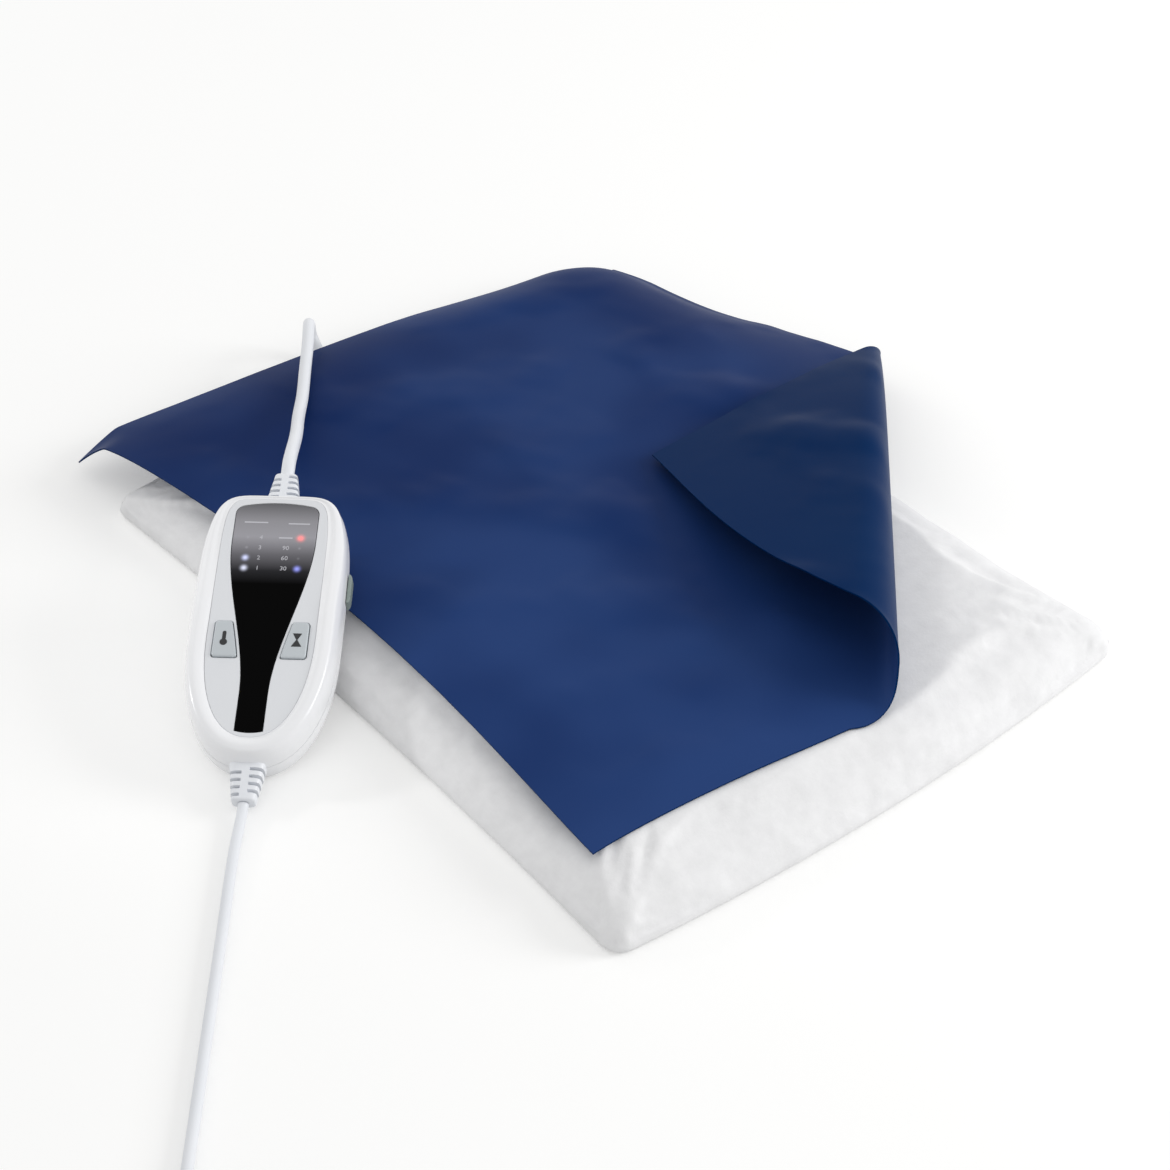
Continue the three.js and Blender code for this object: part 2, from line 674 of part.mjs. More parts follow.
function coverAngles() {
  const inset = 0.006;
  const rolled = ROLL_TURN * roll.sine;
  const stops = [
    [angleOf(roll.corner) - inset, COVER_ROWS.flap],
    [rolled, COVER_ROWS.roll],
    [0, COVER_ROWS.right],
    [angleOf(SHEET_FRONT), COVER_ROWS.front],
    [angleOf(SHEET_LEFT), COVER_ROWS.left],
    [angleOf(SHEET_BACK) + inset, 0],
  ];
  const angles = [];
  stops.forEach(([from, rows], i) => {
    if (i === stops.length - 1) angles.push(from);
    else for (let k = 0; k < rows; k++) angles.push(lerp(from, stops[i + 1][0], k / rows));
  });
  return angles;
}

function coverSheet() {
  const angles = coverAngles();
  const rows = angles.map((angle) => {
    const [near, far] = crossings(angle);
    const ray = roll.forward.clone().multiplyScalar(Math.cos(angle));
    ray.addScaledVector(roll.side, Math.sin(angle));
    return Array.from({ length: COVER_COLUMNS + 1 }, (_, j) =>
      roll.apex.clone().addScaledVector(ray, lerp(near, far, j / COVER_COLUMNS)));
  });
  const middle = rows.map((row) => row.map((flat) => coverPoint(flat)));
  const normal = (i, j) => {
    const flat = rows[i][j];
    const step = 0.2;
    const dx = coverPoint(new THREE.Vector2(flat.x + step, flat.y));
    dx.sub(coverPoint(new THREE.Vector2(flat.x - step, flat.y)));
    const dy = coverPoint(new THREE.Vector2(flat.x, flat.y + step));
    dy.sub(coverPoint(new THREE.Vector2(flat.x, flat.y - step)));
    return dx.cross(dy).normalize();
  };
  const width = COVER_COLUMNS + 1;
  const count = rows.length * width;
  const positions = [];
  for (const lift of [SHEET_THICKNESS / 2, -SHEET_THICKNESS / 2]) {
    middle.forEach((row, i) => row.forEach((at, j) => {
      const p = at.clone().addScaledVector(normal(i, j), lift);
      positions.push(p.x, p.y, p.z);
    }));
  }
  const order = [];
  const quad = (a, b, c, d) => order.push(a, b, c, a, c, d);
  for (let i = 0; i < rows.length - 1; i++) {
    for (let j = 0; j < COVER_COLUMNS; j++) {
      const a = i * width + j;
      quad(a, a + 1, a + width + 1, a + width);
      quad(count + a, count + a + width, count + a + width + 1, count + a + 1);
    }
  }
  const rim = [];
  for (let j = 0; j < COVER_COLUMNS; j++) rim.push(j);
  for (let i = 0; i < rows.length - 1; i++) rim.push(i * width + COVER_COLUMNS);
  for (let j = COVER_COLUMNS; j > 0; j--) rim.push((rows.length - 1) * width + j);
  for (let i = rows.length - 1; i > 0; i--) rim.push(i * width);
  rim.forEach((a, i) => {
    const b = rim[(i + 1) % rim.length];
    quad(b, a, count + a, count + b);
  });
  return facing(positions, order);
}

// Controller housing

const HAND_POINTS = 44;

// A ring of the housing's outline, drawn in at the sides, the lower end and the upper end
function handRing(side, low, high, height, squareness = HAND_TOP_POWER) {
  const half = HAND_WIDTH / 2 - side;
  const down = HAND_WIDEST - low;
  const up = HAND_LENGTH - HAND_WIDEST - high;
  return Array.from({ length: HAND_POINTS }, (_, i) => {
    const turn = (2 * Math.PI * i) / HAND_POINTS;
    const [c, s] = [Math.cos(turn), Math.sin(turn)];
    const power = 2 / (s > 0 ? squareness : HAND_LOW_POWER);
    const x = half * Math.sign(c) * Math.abs(c) ** power;
    const y = HAND_WIDEST + (s > 0 ? up : down) * Math.sign(s) * Math.abs(s) ** power;
    return V3(x, y, typeof height === 'function' ? height(y) : height);
  });
}

const boardHalf = HAND_WIDTH / 2 - BOARD_SIDE_INSET;
const boardHigh = HAND_LENGTH - BOARD_FROM_TOP;
const sliderMiddle = HAND_LENGTH - SLIDER_FROM_TOP;
const screwX = HAND_WIDTH / 2 - SCREW_SIDE_INSET;
const screwHigh = HAND_LENGTH - SCREW_FROM_TOP;
const screwSpots = [[-screwX, SCREW_LOW], [screwX, SCREW_LOW], [-screwX, screwHigh], [screwX, screwHigh]];

const evenRing = (inset, height) => handRing(inset, inset, inset, height);
const rimRing = (share, height, more = 0) => handRing(
  FACE_SIDE_INSET * share + more,
  FACE_LOW_INSET * share + more,
  FACE_TOP_INSET * share + more,
  height,
  lerp(HAND_TOP_POWER, FACE_TOP_POWER, share),
);

function flatShape(ring) {
  return new THREE.Shape(ring.map((p) => new THREE.Vector2(p.x, p.y)));
}

// Height of the rim's crest along the housing
const rimLift = (y) => HAND_RIM * (1 - smooth(y, ...HAND_RIM_FADE));
const faceLow = HAND_FACE - FACE_THICKNESS;
const ledgeTop = faceLow - GAP;
const ledgeLow = ledgeTop - LEDGE_THICKNESS;
const upperSeam = HAND_PARTING + GAP / 2;
const lowerSeam = HAND_PARTING - GAP / 2;
const floorTop = HAND_WALL + 0.2;

function bootShape(width, height, grow = 0) {
  return roundedShape(width / 2 + grow, height / 2 + grow, height * 0.36 + grow);
}

// The opening that a strain relief sits in, through an end wall
function bootHole(end) {
  const hole = slab(bootShape(...BOOT_BASE, GAP), -6, BOOT_INSIDE - BOOT_FLANGE + GAP / 2);
  hole.rotateX(Math.PI / 2);
  return end === 'low'
    ? hole.rotateZ(Math.PI).translate(0, 0, HAND_PARTING)
    : hole.translate(0, HAND_LENGTH, HAND_PARTING);
}

const screwHeadTop = SCREW_SUNK + SCREW_HEAD;
const sliderZ = BOARD_UNDERSIDE - GAP - SLIDE_BODY[2] / 2;

function upperShell() {
  const crest = (drop) => (y) => HAND_FACE + rimLift(y) - drop;
  const rings = [
    evenRing(0, upperSeam),
    evenRing(0.35, lerp(upperSeam, HAND_FACE, 0.5)),
    evenRing(1.1, lerp(upperSeam, HAND_FACE, 0.78)),
    rimRing(0.24, crest(1.3)),
    rimRing(0.42, crest(0.3)),
    rimRing(0.6, crest(0)),
    rimRing(0.8, crest(0.5)),
    rimRing(1, (y) => HAND_FACE - 0.2 + rimLift(y) * 0.1),
    rimRing(1, ledgeTop),
    rimRing(1, ledgeTop, FACE_LEDGE),
    rimRing(1, ledgeLow, FACE_LEDGE),
    evenRing(HAND_WALL + 0.9, ledgeLow),
    evenRing(HAND_WALL, upperSeam),
  ];
  const bosses = screwSpots.map(([x, y]) => post(POST_RADIUS, upperSeam, ledgeLow + 0.6, x, y, 14));
  const bores = screwSpots.map(([x, y]) => post(SCREW_RADIUS + GAP, 0, SCREW_TIP + GAP, x, y, 12));
  return cut(loft(rings, true), [...bores, bootHole('low'), bootHole('high')], bosses);
}

// The slot in the side wall that the power slider's stem runs in
function sliderSlot() {
  const long = SLIDER_STEM[0] + SLIDER_TRAVEL + 2 * RUN;
  const middle = sliderMiddle + SLIDER_TRAVEL / 2;
  const size = [4 * HAND_WALL, long, SLIDER_STEM[1] + 2 * RUN];
  return box(size, [HAND_WIDTH / 2 - HAND_WALL / 2, middle, sliderZ]);
}

// Outer profile of the underside's edge, from the wall to the sole: inset and height in roundings
const SOLE = [[0, 1.05], [0.14, 0.48], [0.5, 0.12], [1, 0]];
const soleRings = SOLE.map(([inset, height]) => evenRing(inset * HAND_SOLE_ROUND, height * HAND_SOLE_ROUND));

const BOARD_PEGS = [-1, 1].flatMap((side) => [BOARD_LOW + 6, boardHigh - 6].map((y) => (
  [side * (boardHalf - 6.2), y])));

function lowerShell() {
  const round = HAND_SOLE_ROUND;
  const rings = [
    evenRing(round + HAND_WALL, floorTop),
    evenRing(round / 2 + HAND_WALL, floorTop + round * 0.16),
    evenRing(HAND_WALL + 0.2, floorTop + round * 0.8),
    evenRing(HAND_WALL, lowerSeam),
    evenRing(0, lowerSeam),
    ...soleRings,
  ];
  const posts = screwSpots.map(([x, y]) => post(POST_RADIUS, 1, lowerSeam, x, y, 14));
  const pegs = BOARD_PEGS.map(([x, y]) => post(2.2, 1, BOARD_UNDERSIDE - GAP, x, y, 10));
  const heads = screwSpots.map(([x, y]) => post(SCREW_HEAD_RADIUS + GAP, -1, screwHeadTop + GAP, x, y, 14));
  const bores = screwSpots.map(([x, y]) => post(SCREW_RADIUS + GAP, 0, HAND_FACE, x, y, 12));
  const tools = [...heads, ...bores, bootHole('low'), bootHole('high'), sliderSlot()];
  return cut(loft(rings), tools, [...posts, ...pegs]);
}

// Half width of the display window at a height along the housing
function windowHalf(y) {
  return lerp(WINDOW_LOW_HALF, WINDOW_TOP_HALF, smooth(y, ...WINDOW_NARROWS));
}

function windowShape(grow) {
  const low = WINDOW_LOW - grow;
  const high = HAND_LENGTH - WINDOW_FROM_TOP - WINDOW_TOP_ARCH + grow;
  const half = WINDOW_TOP_HALF + grow;
  const r = WINDOW_CORNER;
  const steps = 14;
  const right = Array.from({ length: steps + 1 }, (_, i) => {
    const y = lerp(low, high - r, i / steps);
    return new THREE.Vector2(windowHalf(y) + grow, y);
  });
  for (const turn of [0.35, 0.75, 1.2]) {
    right.push(new THREE.Vector2(half - r + r * Math.cos(turn), high - r + r * Math.sin(turn)));
  }
  const top = [0.5, 0, -0.5].map((t) => new THREE.Vector2(t * half, high + WINDOW_TOP_ARCH * (1 - t * t)));
  const left = right.map((p) => new THREE.Vector2(-p.x, p.y)).reverse();
  return new THREE.Shape([...right, ...top, ...left]);
}

const windowTop = HAND_FACE + WINDOW_PROUD;
const windowLow = windowTop - WINDOW_THICKNESS;
const pocketFloor = windowLow - GAP;
const ledSpots = [-1, 1].flatMap((side) => Array.from({ length: LED_ROWS }, (_, row) => ({
  name: `${side < 0 ? 'temperature' : 'timer'}_led_${row + 1}`,
  x: side * LED_COLUMN,
  y: HAND_LENGTH - LED_FROM_TOP - row * LED_PITCH,
})));

const keyOuter = HAND_WIDTH / 2 - FACE_SIDE_INSET - KEY_TO_RIM;

// A key's outline: its inner side follows the window, its outer side is straight
function keyShape(side, grow) {
  const [low, high] = [KEY_LOW - grow, KEY_HIGH + grow];
  const steps = 6;
  const inner = Array.from({ length: steps + 1 }, (_, i) => {
    const y = lerp(low, high, i / steps);
    return new THREE.Vector2(windowHalf(y) + KEY_TO_WINDOW - grow, y);
  });
  const outer = keyOuter + grow;
  const corner = 1.6;
  const rest = [
    new THREE.Vector2(outer - corner, high),
    new THREE.Vector2(outer, high - corner),
    new THREE.Vector2(outer, low + corner),
    new THREE.Vector2(outer - corner, low),
  ];
  const points = [...inner, ...rest].map((p) => new THREE.Vector2(side * p.x, p.y));
  return new THREE.Shape(side > 0 ? points.reverse() : points);
}

function facePlate() {
  const body = slab(flatShape(rimRing(1, 0, GAP)), faceLow, HAND_FACE);
  const tools = [slab(windowShape(GAP), pocketFloor, HAND_FACE + 2)];
  for (const side of [-1, 1]) tools.push(slab(keyShape(side, RUN), faceLow - 1, HAND_FACE + 2));
  for (const { x, y } of ledSpots) tools.push(post(LED_RADIUS + GAP, faceLow - 1, HAND_FACE, x, y, 8));
  return cut(body, tools);
}

const boardTop = BOARD_UNDERSIDE + BOARD_THICKNESS;
const onBoard = boardTop + GAP;
const keyMiddle = (KEY_LOW + KEY_HIGH) / 2;
const keyStemX = (windowHalf(keyMiddle) + KEY_TO_WINDOW + keyOuter) / 2;
const flangeTop = faceLow - GAP;
const flangeLow = flangeTop - KEY_FLANGE_THICKNESS;
const tactTop = onBoard + TACT_HEIGHT;
const plungerTop = flangeLow - GAP;

// A key: cap with a bevelled top and the retaining flange that bears on its switch
function key(side) {
  const top = HAND_FACE + KEY_PROUD;
  const bevel = 0.6;
  const cap = slab(keyShape(side, 0), flangeLow + 0.2, top - bevel);
  const crownShape = keyShape(side, -bevel);
  const crownPart = slab(crownShape, top - bevel - 0.2, top);
  const flange = slab(keyShape(side, KEY_FLANGE), flangeLow, flangeTop);
  return cut(cap, [], [crownPart, flange]);
}

function tactBody(side) {
  const x = side * keyStemX;
  const body = box([TACT_SIZE, TACT_SIZE, TACT_HEIGHT], [x, keyMiddle, onBoard + TACT_HEIGHT / 2]);
  return cut(body, [post(TACT_PLUNGER + RUN, onBoard + TACT_WALL, tactTop + 1, x, keyMiddle, 14)]);
}

function tactPlunger(side) {
  const low = onBoard + TACT_WALL + KEY_TRAVEL + GAP;
  return post(TACT_PLUNGER, low, plungerTop, side * keyStemX, keyMiddle, 14);
}

// A lamp: flange on the board, straight body and domed end under the window
function lamp(x, y) {
  const top = windowLow - GAP;
  const r = LED_RADIUS;
  const foot = onBoard;
  const profile = [
    [0, foot], [r + LED_FLANGE, foot], [r + LED_FLANGE, foot + 1], [r, foot + 1],
    [r, top - r], [r * 0.72, top - r * 0.3], [0, top],
  ].map(([radius, z]) => new THREE.Vector2(radius, z));
  return new THREE.LatheGeometry(profile, 8).rotateX(Math.PI / 2).translate(x, y, 0);
}

function circuitBoard() {
  const long = (boardHigh - BOARD_LOW) / 2;
  const body = slab(roundedShape(boardHalf, long, 3, 0, BOARD_LOW + long), BOARD_UNDERSIDE, boardTop);
  return cut(body, screwSpots.map(([x, y]) => post(POST_RADIUS + GAP, 0, HAND_FACE, x, y, 14)));
}

const slideBodyX = boardHalf - SLIDE_BODY[0] / 2 + 1.5;

// Slide switch under the board's edge, with the groove that its lever runs in
function slideBody() {
  const middle = sliderMiddle + SLIDER_TRAVEL / 2;
  const body = box(SLIDE_BODY, [slideBodyX, middle, sliderZ]);
  const groove = [8, SLIDER_STEM[0] + SLIDER_TRAVEL + 2 * RUN, SLIDER_STEM[1] + 2 * RUN];
  return cut(body, [box(groove, [slideBodyX + SLIDE_BODY[0] / 2, middle, sliderZ])]);
}

// The knob outside the wall with its ribs, and the stem that reaches the switch
function powerSlider() {
  const inside = HAND_WIDTH / 2 + RUN;
  const half = SLIDER_LENGTH / 2;
  const shape = new THREE.Shape();
  shape.moveTo(inside, -half);
  shape.lineTo(inside, half);
  shape.quadraticCurveTo(inside + SLIDER_PROUD, half, inside + SLIDER_PROUD, half - 4);
  shape.lineTo(inside + SLIDER_PROUD, -half + 4);
  shape.quadraticCurveTo(inside + SLIDER_PROUD, -half, inside, -half);
  const knob = slab(shape, sliderZ - SLIDER_HEIGHT / 2, sliderZ + SLIDER_HEIGHT / 2, 4);
  knob.translate(0, sliderMiddle, 0);
  const from = slideBodyX + SLIDE_BODY[0] / 2 - 2.5;
  const stem = box([inside + 0.5 - from, ...SLIDER_STEM], [(inside + 0.5 + from) / 2, sliderMiddle, sliderZ]);
  const ribs = [-3, -1, 1, 3].map((y) => box(
    [1, 0.8, SLIDER_HEIGHT - 2],
    [inside + SLIDER_PROUD + 0.2, sliderMiddle + y, sliderZ],
  ));
  return cut(knob, ribs, [stem]);
}

function screw([x, y]) {
  const low = SCREW_SUNK;
  const profile = [
    [0, low], [SCREW_HEAD_RADIUS * 0.8, low], [SCREW_HEAD_RADIUS, low + 0.5],
    [SCREW_HEAD_RADIUS, screwHeadTop], [SCREW_RADIUS, screwHeadTop],
    [SCREW_RADIUS, SCREW_TIP - 1.5], [0, SCREW_TIP],
  ].map(([radius, z]) => new THREE.Vector2(radius, z));
  return new THREE.LatheGeometry(profile, 10).rotateX(Math.PI / 2).translate(x, y, 0);
}

// A tapered strain relief with slots on both sides of a solid spine; its tip points along +Y
function boot(end) {
  const rings = [];
  const ring = (width, height, y) => bootShape(width, height).getSpacedPoints(20).slice(0, 20)
    .map((p) => V3(p.x, y, p.y));
  const inside = BOOT_INSIDE - BOOT_FLANGE - GAP / 2;
  const flange = BOOT_BASE.map((size, i) => size + BOOT_FLANGE_OVER[i]);
  rings.push(ring(...flange, -BOOT_INSIDE - GAP));
  rings.push(ring(...flange, -inside - GAP));
  rings.push(ring(BOOT_BASE[0], BOOT_BASE[1], -inside - GAP));
  rings.push(ring(BOOT_BASE[0], BOOT_BASE[1], 0.5));
  rings.push(ring(...BOOT_BASE.map((size, i) => (size + BOOT_TIP[i]) / 2), BOOT_LENGTH / 2));
  rings.push(ring(BOOT_TIP[0], BOOT_TIP[1], BOOT_LENGTH - 1.2));
  rings.push(ring(BOOT_TIP[0] - 2, BOOT_TIP[1] - 1.6, BOOT_LENGTH));
  const pitch = (BOOT_LENGTH - 3) / BOOT_SLOTS;
  const slots = [];
  for (let i = 0; i < BOOT_SLOTS; i++) {
    for (const side of [-1, 1]) {
      const y = 2.4 + (i + 0.5 + side * 0.25) * pitch - 0.25 * pitch;
      const wide = BOOT_BASE[0];
      slots.push(box([wide, BOOT_SLOT, BOOT_BASE[1] + 4], [side * (wide / 2 + BOOT_SPINE / 2), y, 0]));
    }
  }
  const made = cut(loft(rings), slots);
  return end === 'low'
    ? made.rotateZ(Math.PI).translate(0, 0, HAND_PARTING)
    : made.translate(0, HAND_LENGTH, HAND_PARTING);
}

// Pieces on the board: a film capacitor, a triac, a controller chip and a fuse
function boardPieces() {
  const cap = box([16, 8, 6.4], [-9, 40, onBoard + 3.2]);
  const triac = box([10, 14, 4.4], [9, 40, onBoard + 2.2]);
  const chip = box([8, 13, 2], [0, 86, onBoard + 1]);
  const fuse = barX(2, -5, 5, onBoard + 2, 12).translate(0, 54, 0);
  return { cap, triac, chip, fuse };
}

const handset = new THREE.Group();
const lower = piece('handset_lower_shell', lowerShell(), 'shell');
handset.add(lower);
handset.add(piece('handset_upper_shell', upperShell(), 'shell'));
handset.add(piece('face_plate', facePlate(), 'face'));
handset.add(piece('display_window', slab(windowShape(0), windowLow, windowTop), 'window'));
handset.add(piece('temperature_key', key(-1), 'key'));
handset.add(piece('timer_key', key(1), 'key'));
handset.add(piece('temperature_switch', tactBody(-1), 'component'));
handset.add(piece('timer_switch', tactBody(1), 'component'));
handset.add(piece('temperature_plunger', tactPlunger(-1), 'component'));
handset.add(piece('timer_plunger', tactPlunger(1), 'component'));
for (const { name, x, y } of ledSpots) handset.add(piece(name, lamp(x, y), 'lamp'));
handset.add(piece('circuit_board', circuitBoard(), 'board'));
handset.add(piece('slide_switch', slideBody(), 'component'));
handset.add(piece('power_slider', powerSlider(), 'slider'));
const parts = boardPieces();
handset.add(piece('film_capacitor', parts.cap, 'film'));
handset.add(piece('triac', parts.triac, 'component'));
handset.add(piece('control_chip', parts.chip, 'component'));
handset.add(piece('fuse', parts.fuse, 'steel'));
screwSpots.forEach((spot, i) => handset.add(piece(`housing_screw_${i + 1}`, screw(spot), 'steel')));
handset.add(piece('upper_strain_relief', boot('high'), 'cord'));
handset.add(piece('lower_strain_relief', boot('low'), 'cord'));

// The controller leans with its lower end on the floor and its back on the pad's soft edge
const across = V3(Math.sin(HAND_HEADING), -Math.cos(HAND_HEADING), 0);
const along = V3(
  Math.cos(HAND_HEADING) * Math.cos(HAND_TILT),
  Math.sin(HAND_HEADING) * Math.cos(HAND_TILT),
  Math.sin(HAND_TILT),
);
handset.quaternion.setFromRotationMatrix(
  new THREE.Matrix4().makeBasis(across, along, across.clone().cross(along)),
);
handset.position.set(HAND_FOOT.x, HAND_FOOT.y, 0);
handset.updateMatrixWorld(true);
handset.position.z = -new THREE.Box3().setFromObject(lower, true).min.z;
handset.updateMatrixWorld(true);

// The hollow that the controller presses into the pad's edge
function pressedHollow() {
  const rings = [evenRing(-GAP, HAND_PARTING)];
  for (const [inset, height] of SOLE) {
    rings.push(evenRing(inset * HAND_SOLE_ROUND - GAP, height * HAND_SOLE_ROUND - GAP));
  }
  return loft(rings).applyMatrix4(handset.matrixWorld);
}

const fromHandset = (x, y, z) => handset.localToWorld(V3(x, y, z));
const handsetUp = fromHandset(0, 1, 0).sub(fromHandset(0, 0, 0));

// Cord from the controller over the cover, round its edge and into the pad's end
function padCord() {
  const start = fromHandset(0, HAND_LENGTH + BOOT_LENGTH + GAP, HAND_PARTING);
  const end = V3(glandEnd - GAP, 0, GLAND_HEIGHT);
  const straight = 8;
  const points = [
    start,
    start.clone().addScaledVector(handsetUp, straight),
    V3(-134, -82, 50),
    V3(-163, -62, 38),
    V3(-184, -46, 32.5),
    V3(-204, -31, 31.5),
    V3(-225, -15, 31.5),
    V3(-242, -3, 29.5),
    V3(-254, 5, 21.5),
    V3(-256, 7, 12.5),
    V3(-248, 6, 6),
    V3(-236, 3, 5.2),
    end.clone().add(V3(-straight, 0, -0.5)),
    end,
  ];
  const line = laid(points, 9);
  line[line.length - 2].set(end.x - 4, end.y, end.z);
  return line;
}

const mainsFloor = MAINS_CORD_DIAMETER / 2 + 0.1;
const coilLeft = new THREE.Vector2(-COIL_IN_HEADING.y, COIL_IN_HEADING.x); // the turns go to the left
const coilStart = COIL_CENTRE.clone().addScaledVector(coilLeft, -COIL_OUTER);
const coilHeight = mainsFloor + COIL_LIFT;

// Mains cord along the floor from the controller to the coil
function mainsCord() {
  const start = fromHandset(0, -BOOT_LENGTH - GAP, HAND_PARTING);
  const heading = V3(COIL_IN_HEADING.x, COIL_IN_HEADING.y, 0);
  const end = V3(coilStart.x, coilStart.y, coilHeight).addScaledVector(heading, -MAINS_CORD_DIAMETER - GAP);
  const straight = end.clone().addScaledVector(heading, -12);
  const down = start.clone().addScaledVector(handsetUp, -MAINS_DROP).setZ(mainsFloor + 0.1);
  const points = [
    start,
    start.clone().addScaledVector(handsetUp, -4),
    down,
    ...[0.25, 0.5, 0.75].map((share) => V3().lerpVectors(down, straight, share).setZ(mainsFloor)),
    straight,
    end,
  ];
  return laid(points, 11);
}

// Turns that spiral in on the lower layer and out again on the upper one
function coilPoints() {
  const half = COIL_TURNS / 2;
  const begin = Math.atan2(-coilLeft.y, -coilLeft.x);
  const heading = V3(COIL_IN_HEADING.x, COIL_IN_HEADING.y, 0);
  const points = [];
  const steps = Math.round(COIL_TURNS * COIL_STEPS);
  for (let i = 0; i <= steps; i++) {
    const turn = (i / steps) * COIL_TURNS;
    const radius = COIL_OUTER - COIL_PITCH * Math.min(turn, COIL_TURNS - turn);
    const height = coilHeight + COIL_PITCH * smooth(turn, half - 0.25, half + 0.25);
    const angle = begin + 2 * Math.PI * turn;
    points.push(V3(
      COIL_CENTRE.x + radius * Math.cos(angle),
      COIL_CENTRE.y + radius * Math.sin(angle),
      height,
    ));
  }
  points.unshift(points[0].clone().addScaledVector(heading, -MAINS_CORD_DIAMETER));
  const last = points[points.length - 1];
  const angle = begin + 2 * Math.PI * COIL_TURNS;
  const onward = V3(-Math.sin(angle), Math.cos(angle), 0);
  const outward = V3(Math.cos(angle), Math.sin(angle), 0);
  for (const share of [0.35, 0.7, 1]) {
    const p = last.clone().addScaledVector(onward, COIL_TAIL * share);
    p.addScaledVector(outward, 1.2 * share);
    p.z = lerp(last.z, PLUG_THICKNESS / 2, smooth(share, 0, 0.85));
    points.push(p);
  }
  const end = points[points.length - 1].clone().addScaledVector(onward, MAINS_CORD_DIAMETER);
  points.push(end);
  return { points, end, onward };
}

const coil = coilPoints();

// Least gap between stretches of the coil that aren't neighbours along it
function leastGap(points) {
  const fine = new THREE.CatmullRomCurve3(points).getSpacedPoints(points.length * 3);
  const apart = Math.ceil((COIL_STEPS * 3) / 2);
  let least = Infinity;
  for (let i = 0; i < fine.length; i++) {
    for (let j = i + apart; j < fine.length; j++) least = Math.min(least, fine[i].distanceTo(fine[j]));
  }
  return least - MAINS_CORD_DIAMETER;
}
console.log(`coil's least gap to itself ${leastGap(coil.points).toFixed(2)} mm`);

// Strap round the coil's turns
function coilTie() {
  const inner = COIL_OUTER - (COIL_PITCH * COIL_TURNS) / 2;
  const reach = MAINS_CORD_DIAMETER / 2 + TIE_ROOM;
  const low = coilHeight - reach;
  const high = coilHeight + COIL_PITCH + reach;
  const halfX = (COIL_OUTER - inner) / 2 + reach;
  const halfY = (high - low) / 2;
  const shape = roundedShape(halfX + TIE_THICKNESS, halfY + TIE_THICKNESS, 3 + TIE_THICKNESS);
  shape.holes.push(roundedShape(halfX, halfY, 3));
  const made = slab(shape, -TIE_WIDTH / 2, TIE_WIDTH / 2, 4);
  made.rotateX(Math.PI / 2).translate((COIL_OUTER + inner) / 2, 0, (low + high) / 2);
  const angle = Math.atan2(-coilLeft.y, -coilLeft.x) + TIE_ANGLE;
  return made.rotateZ(angle).translate(COIL_CENTRE.x, COIL_CENTRE.y, 0);
}

// Two-pin plug: built along +Y from the cord's end and turned to lie after the coil
const plug = new THREE.Group();
const plugStart = coil.end.clone().addScaledVector(coil.onward, GAP);
plug.position.copy(plugStart);
plug.rotation.z = Math.atan2(coil.onward.y, coil.onward.x) - Math.PI / 2;

function plugBoot() {
  const profile = [new THREE.Vector2(0, 0), new THREE.Vector2(PLUG_BOOT_TIP / 2, 0)];
  const rings = 4;
  for (let i = 0; i < rings; i++) {
    const y = 4 + i * 4;
    const r = lerp(PLUG_BOOT_TIP, PLUG_BOOT_BASE, y / PLUG_BOOT_LENGTH) / 2;
    profile.push(new THREE.Vector2(r, y), new THREE.Vector2(r - 0.8, y + 0.2));
    profile.push(new THREE.Vector2(r - 0.8, y + 1.6), new THREE.Vector2(r + 0.15, y + 1.8));
  }
  profile.push(new THREE.Vector2(PLUG_BOOT_BASE / 2, PLUG_BOOT_LENGTH));
  profile.push(new THREE.Vector2(0, PLUG_BOOT_LENGTH));
  return new THREE.LatheGeometry(profile, 12);
}

const plugBack = PLUG_BOOT_LENGTH + GAP;
const plugFront = plugBack + PLUG_LENGTH;

function plugBody() {
  const [half, waist] = [PLUG_WIDTH / 2, PLUG_WAIST / 2];
  const shape = new THREE.Shape();
  shape.moveTo(-waist * 0.55, plugBack);
  shape.lineTo(waist * 0.55, plugBack);
  shape.quadraticCurveTo(waist, plugBack, waist + 1, plugBack + 5);
  shape.quadraticCurveTo(half, plugBack + PLUG_LENGTH * 0.5, half, plugFront - 8);
  shape.lineTo(half - 5, plugFront);
  shape.lineTo(-half + 5, plugFront);
  shape.lineTo(-half, plugFront - 8);
  shape.quadraticCurveTo(-half, plugBack + PLUG_LENGTH * 0.5, -waist - 1, plugBack + 5);
  shape.quadraticCurveTo(-waist, plugBack, -waist * 0.55, plugBack);
  const body = slab(shape, -PLUG_THICKNESS / 2, PLUG_THICKNESS / 2, 5);
  const holes = [-1, 1].map((side) => new THREE.CylinderGeometry(
    PLUG_PIN_RADIUS + GAP,
    PLUG_PIN_RADIUS + GAP,
    2 * PLUG_PIN_SEAT + 2 * GAP,
    14,
  ).translate((side * PLUG_PIN_SPACING) / 2, plugFront, 0));
  return cut(body, holes);
}

function plugPin(side) {
  const r = PLUG_PIN_RADIUS;
  const profile = [
    [0, plugFront - PLUG_PIN_SEAT], [r, plugFront - PLUG_PIN_SEAT],
    [r, plugFront + PLUG_PIN_LENGTH - r], [r * 0.7, plugFront + PLUG_PIN_LENGTH - r * 0.3],
    [0, plugFront + PLUG_PIN_LENGTH],
  ].map(([radius, y]) => new THREE.Vector2(radius, y));
  return new THREE.LatheGeometry(profile, 12).translate((side * PLUG_PIN_SPACING) / 2, 0, 0);
}

plug.add(piece('plug_strain_relief', plugBoot(), 'cord'));
plug.add(piece('plug_body', plugBody(), 'cord'));
plug.add(piece('plug_pin_1', plugPin(-1), 'steel'));
plug.add(piece('plug_pin_2', plugPin(1), 'steel'));

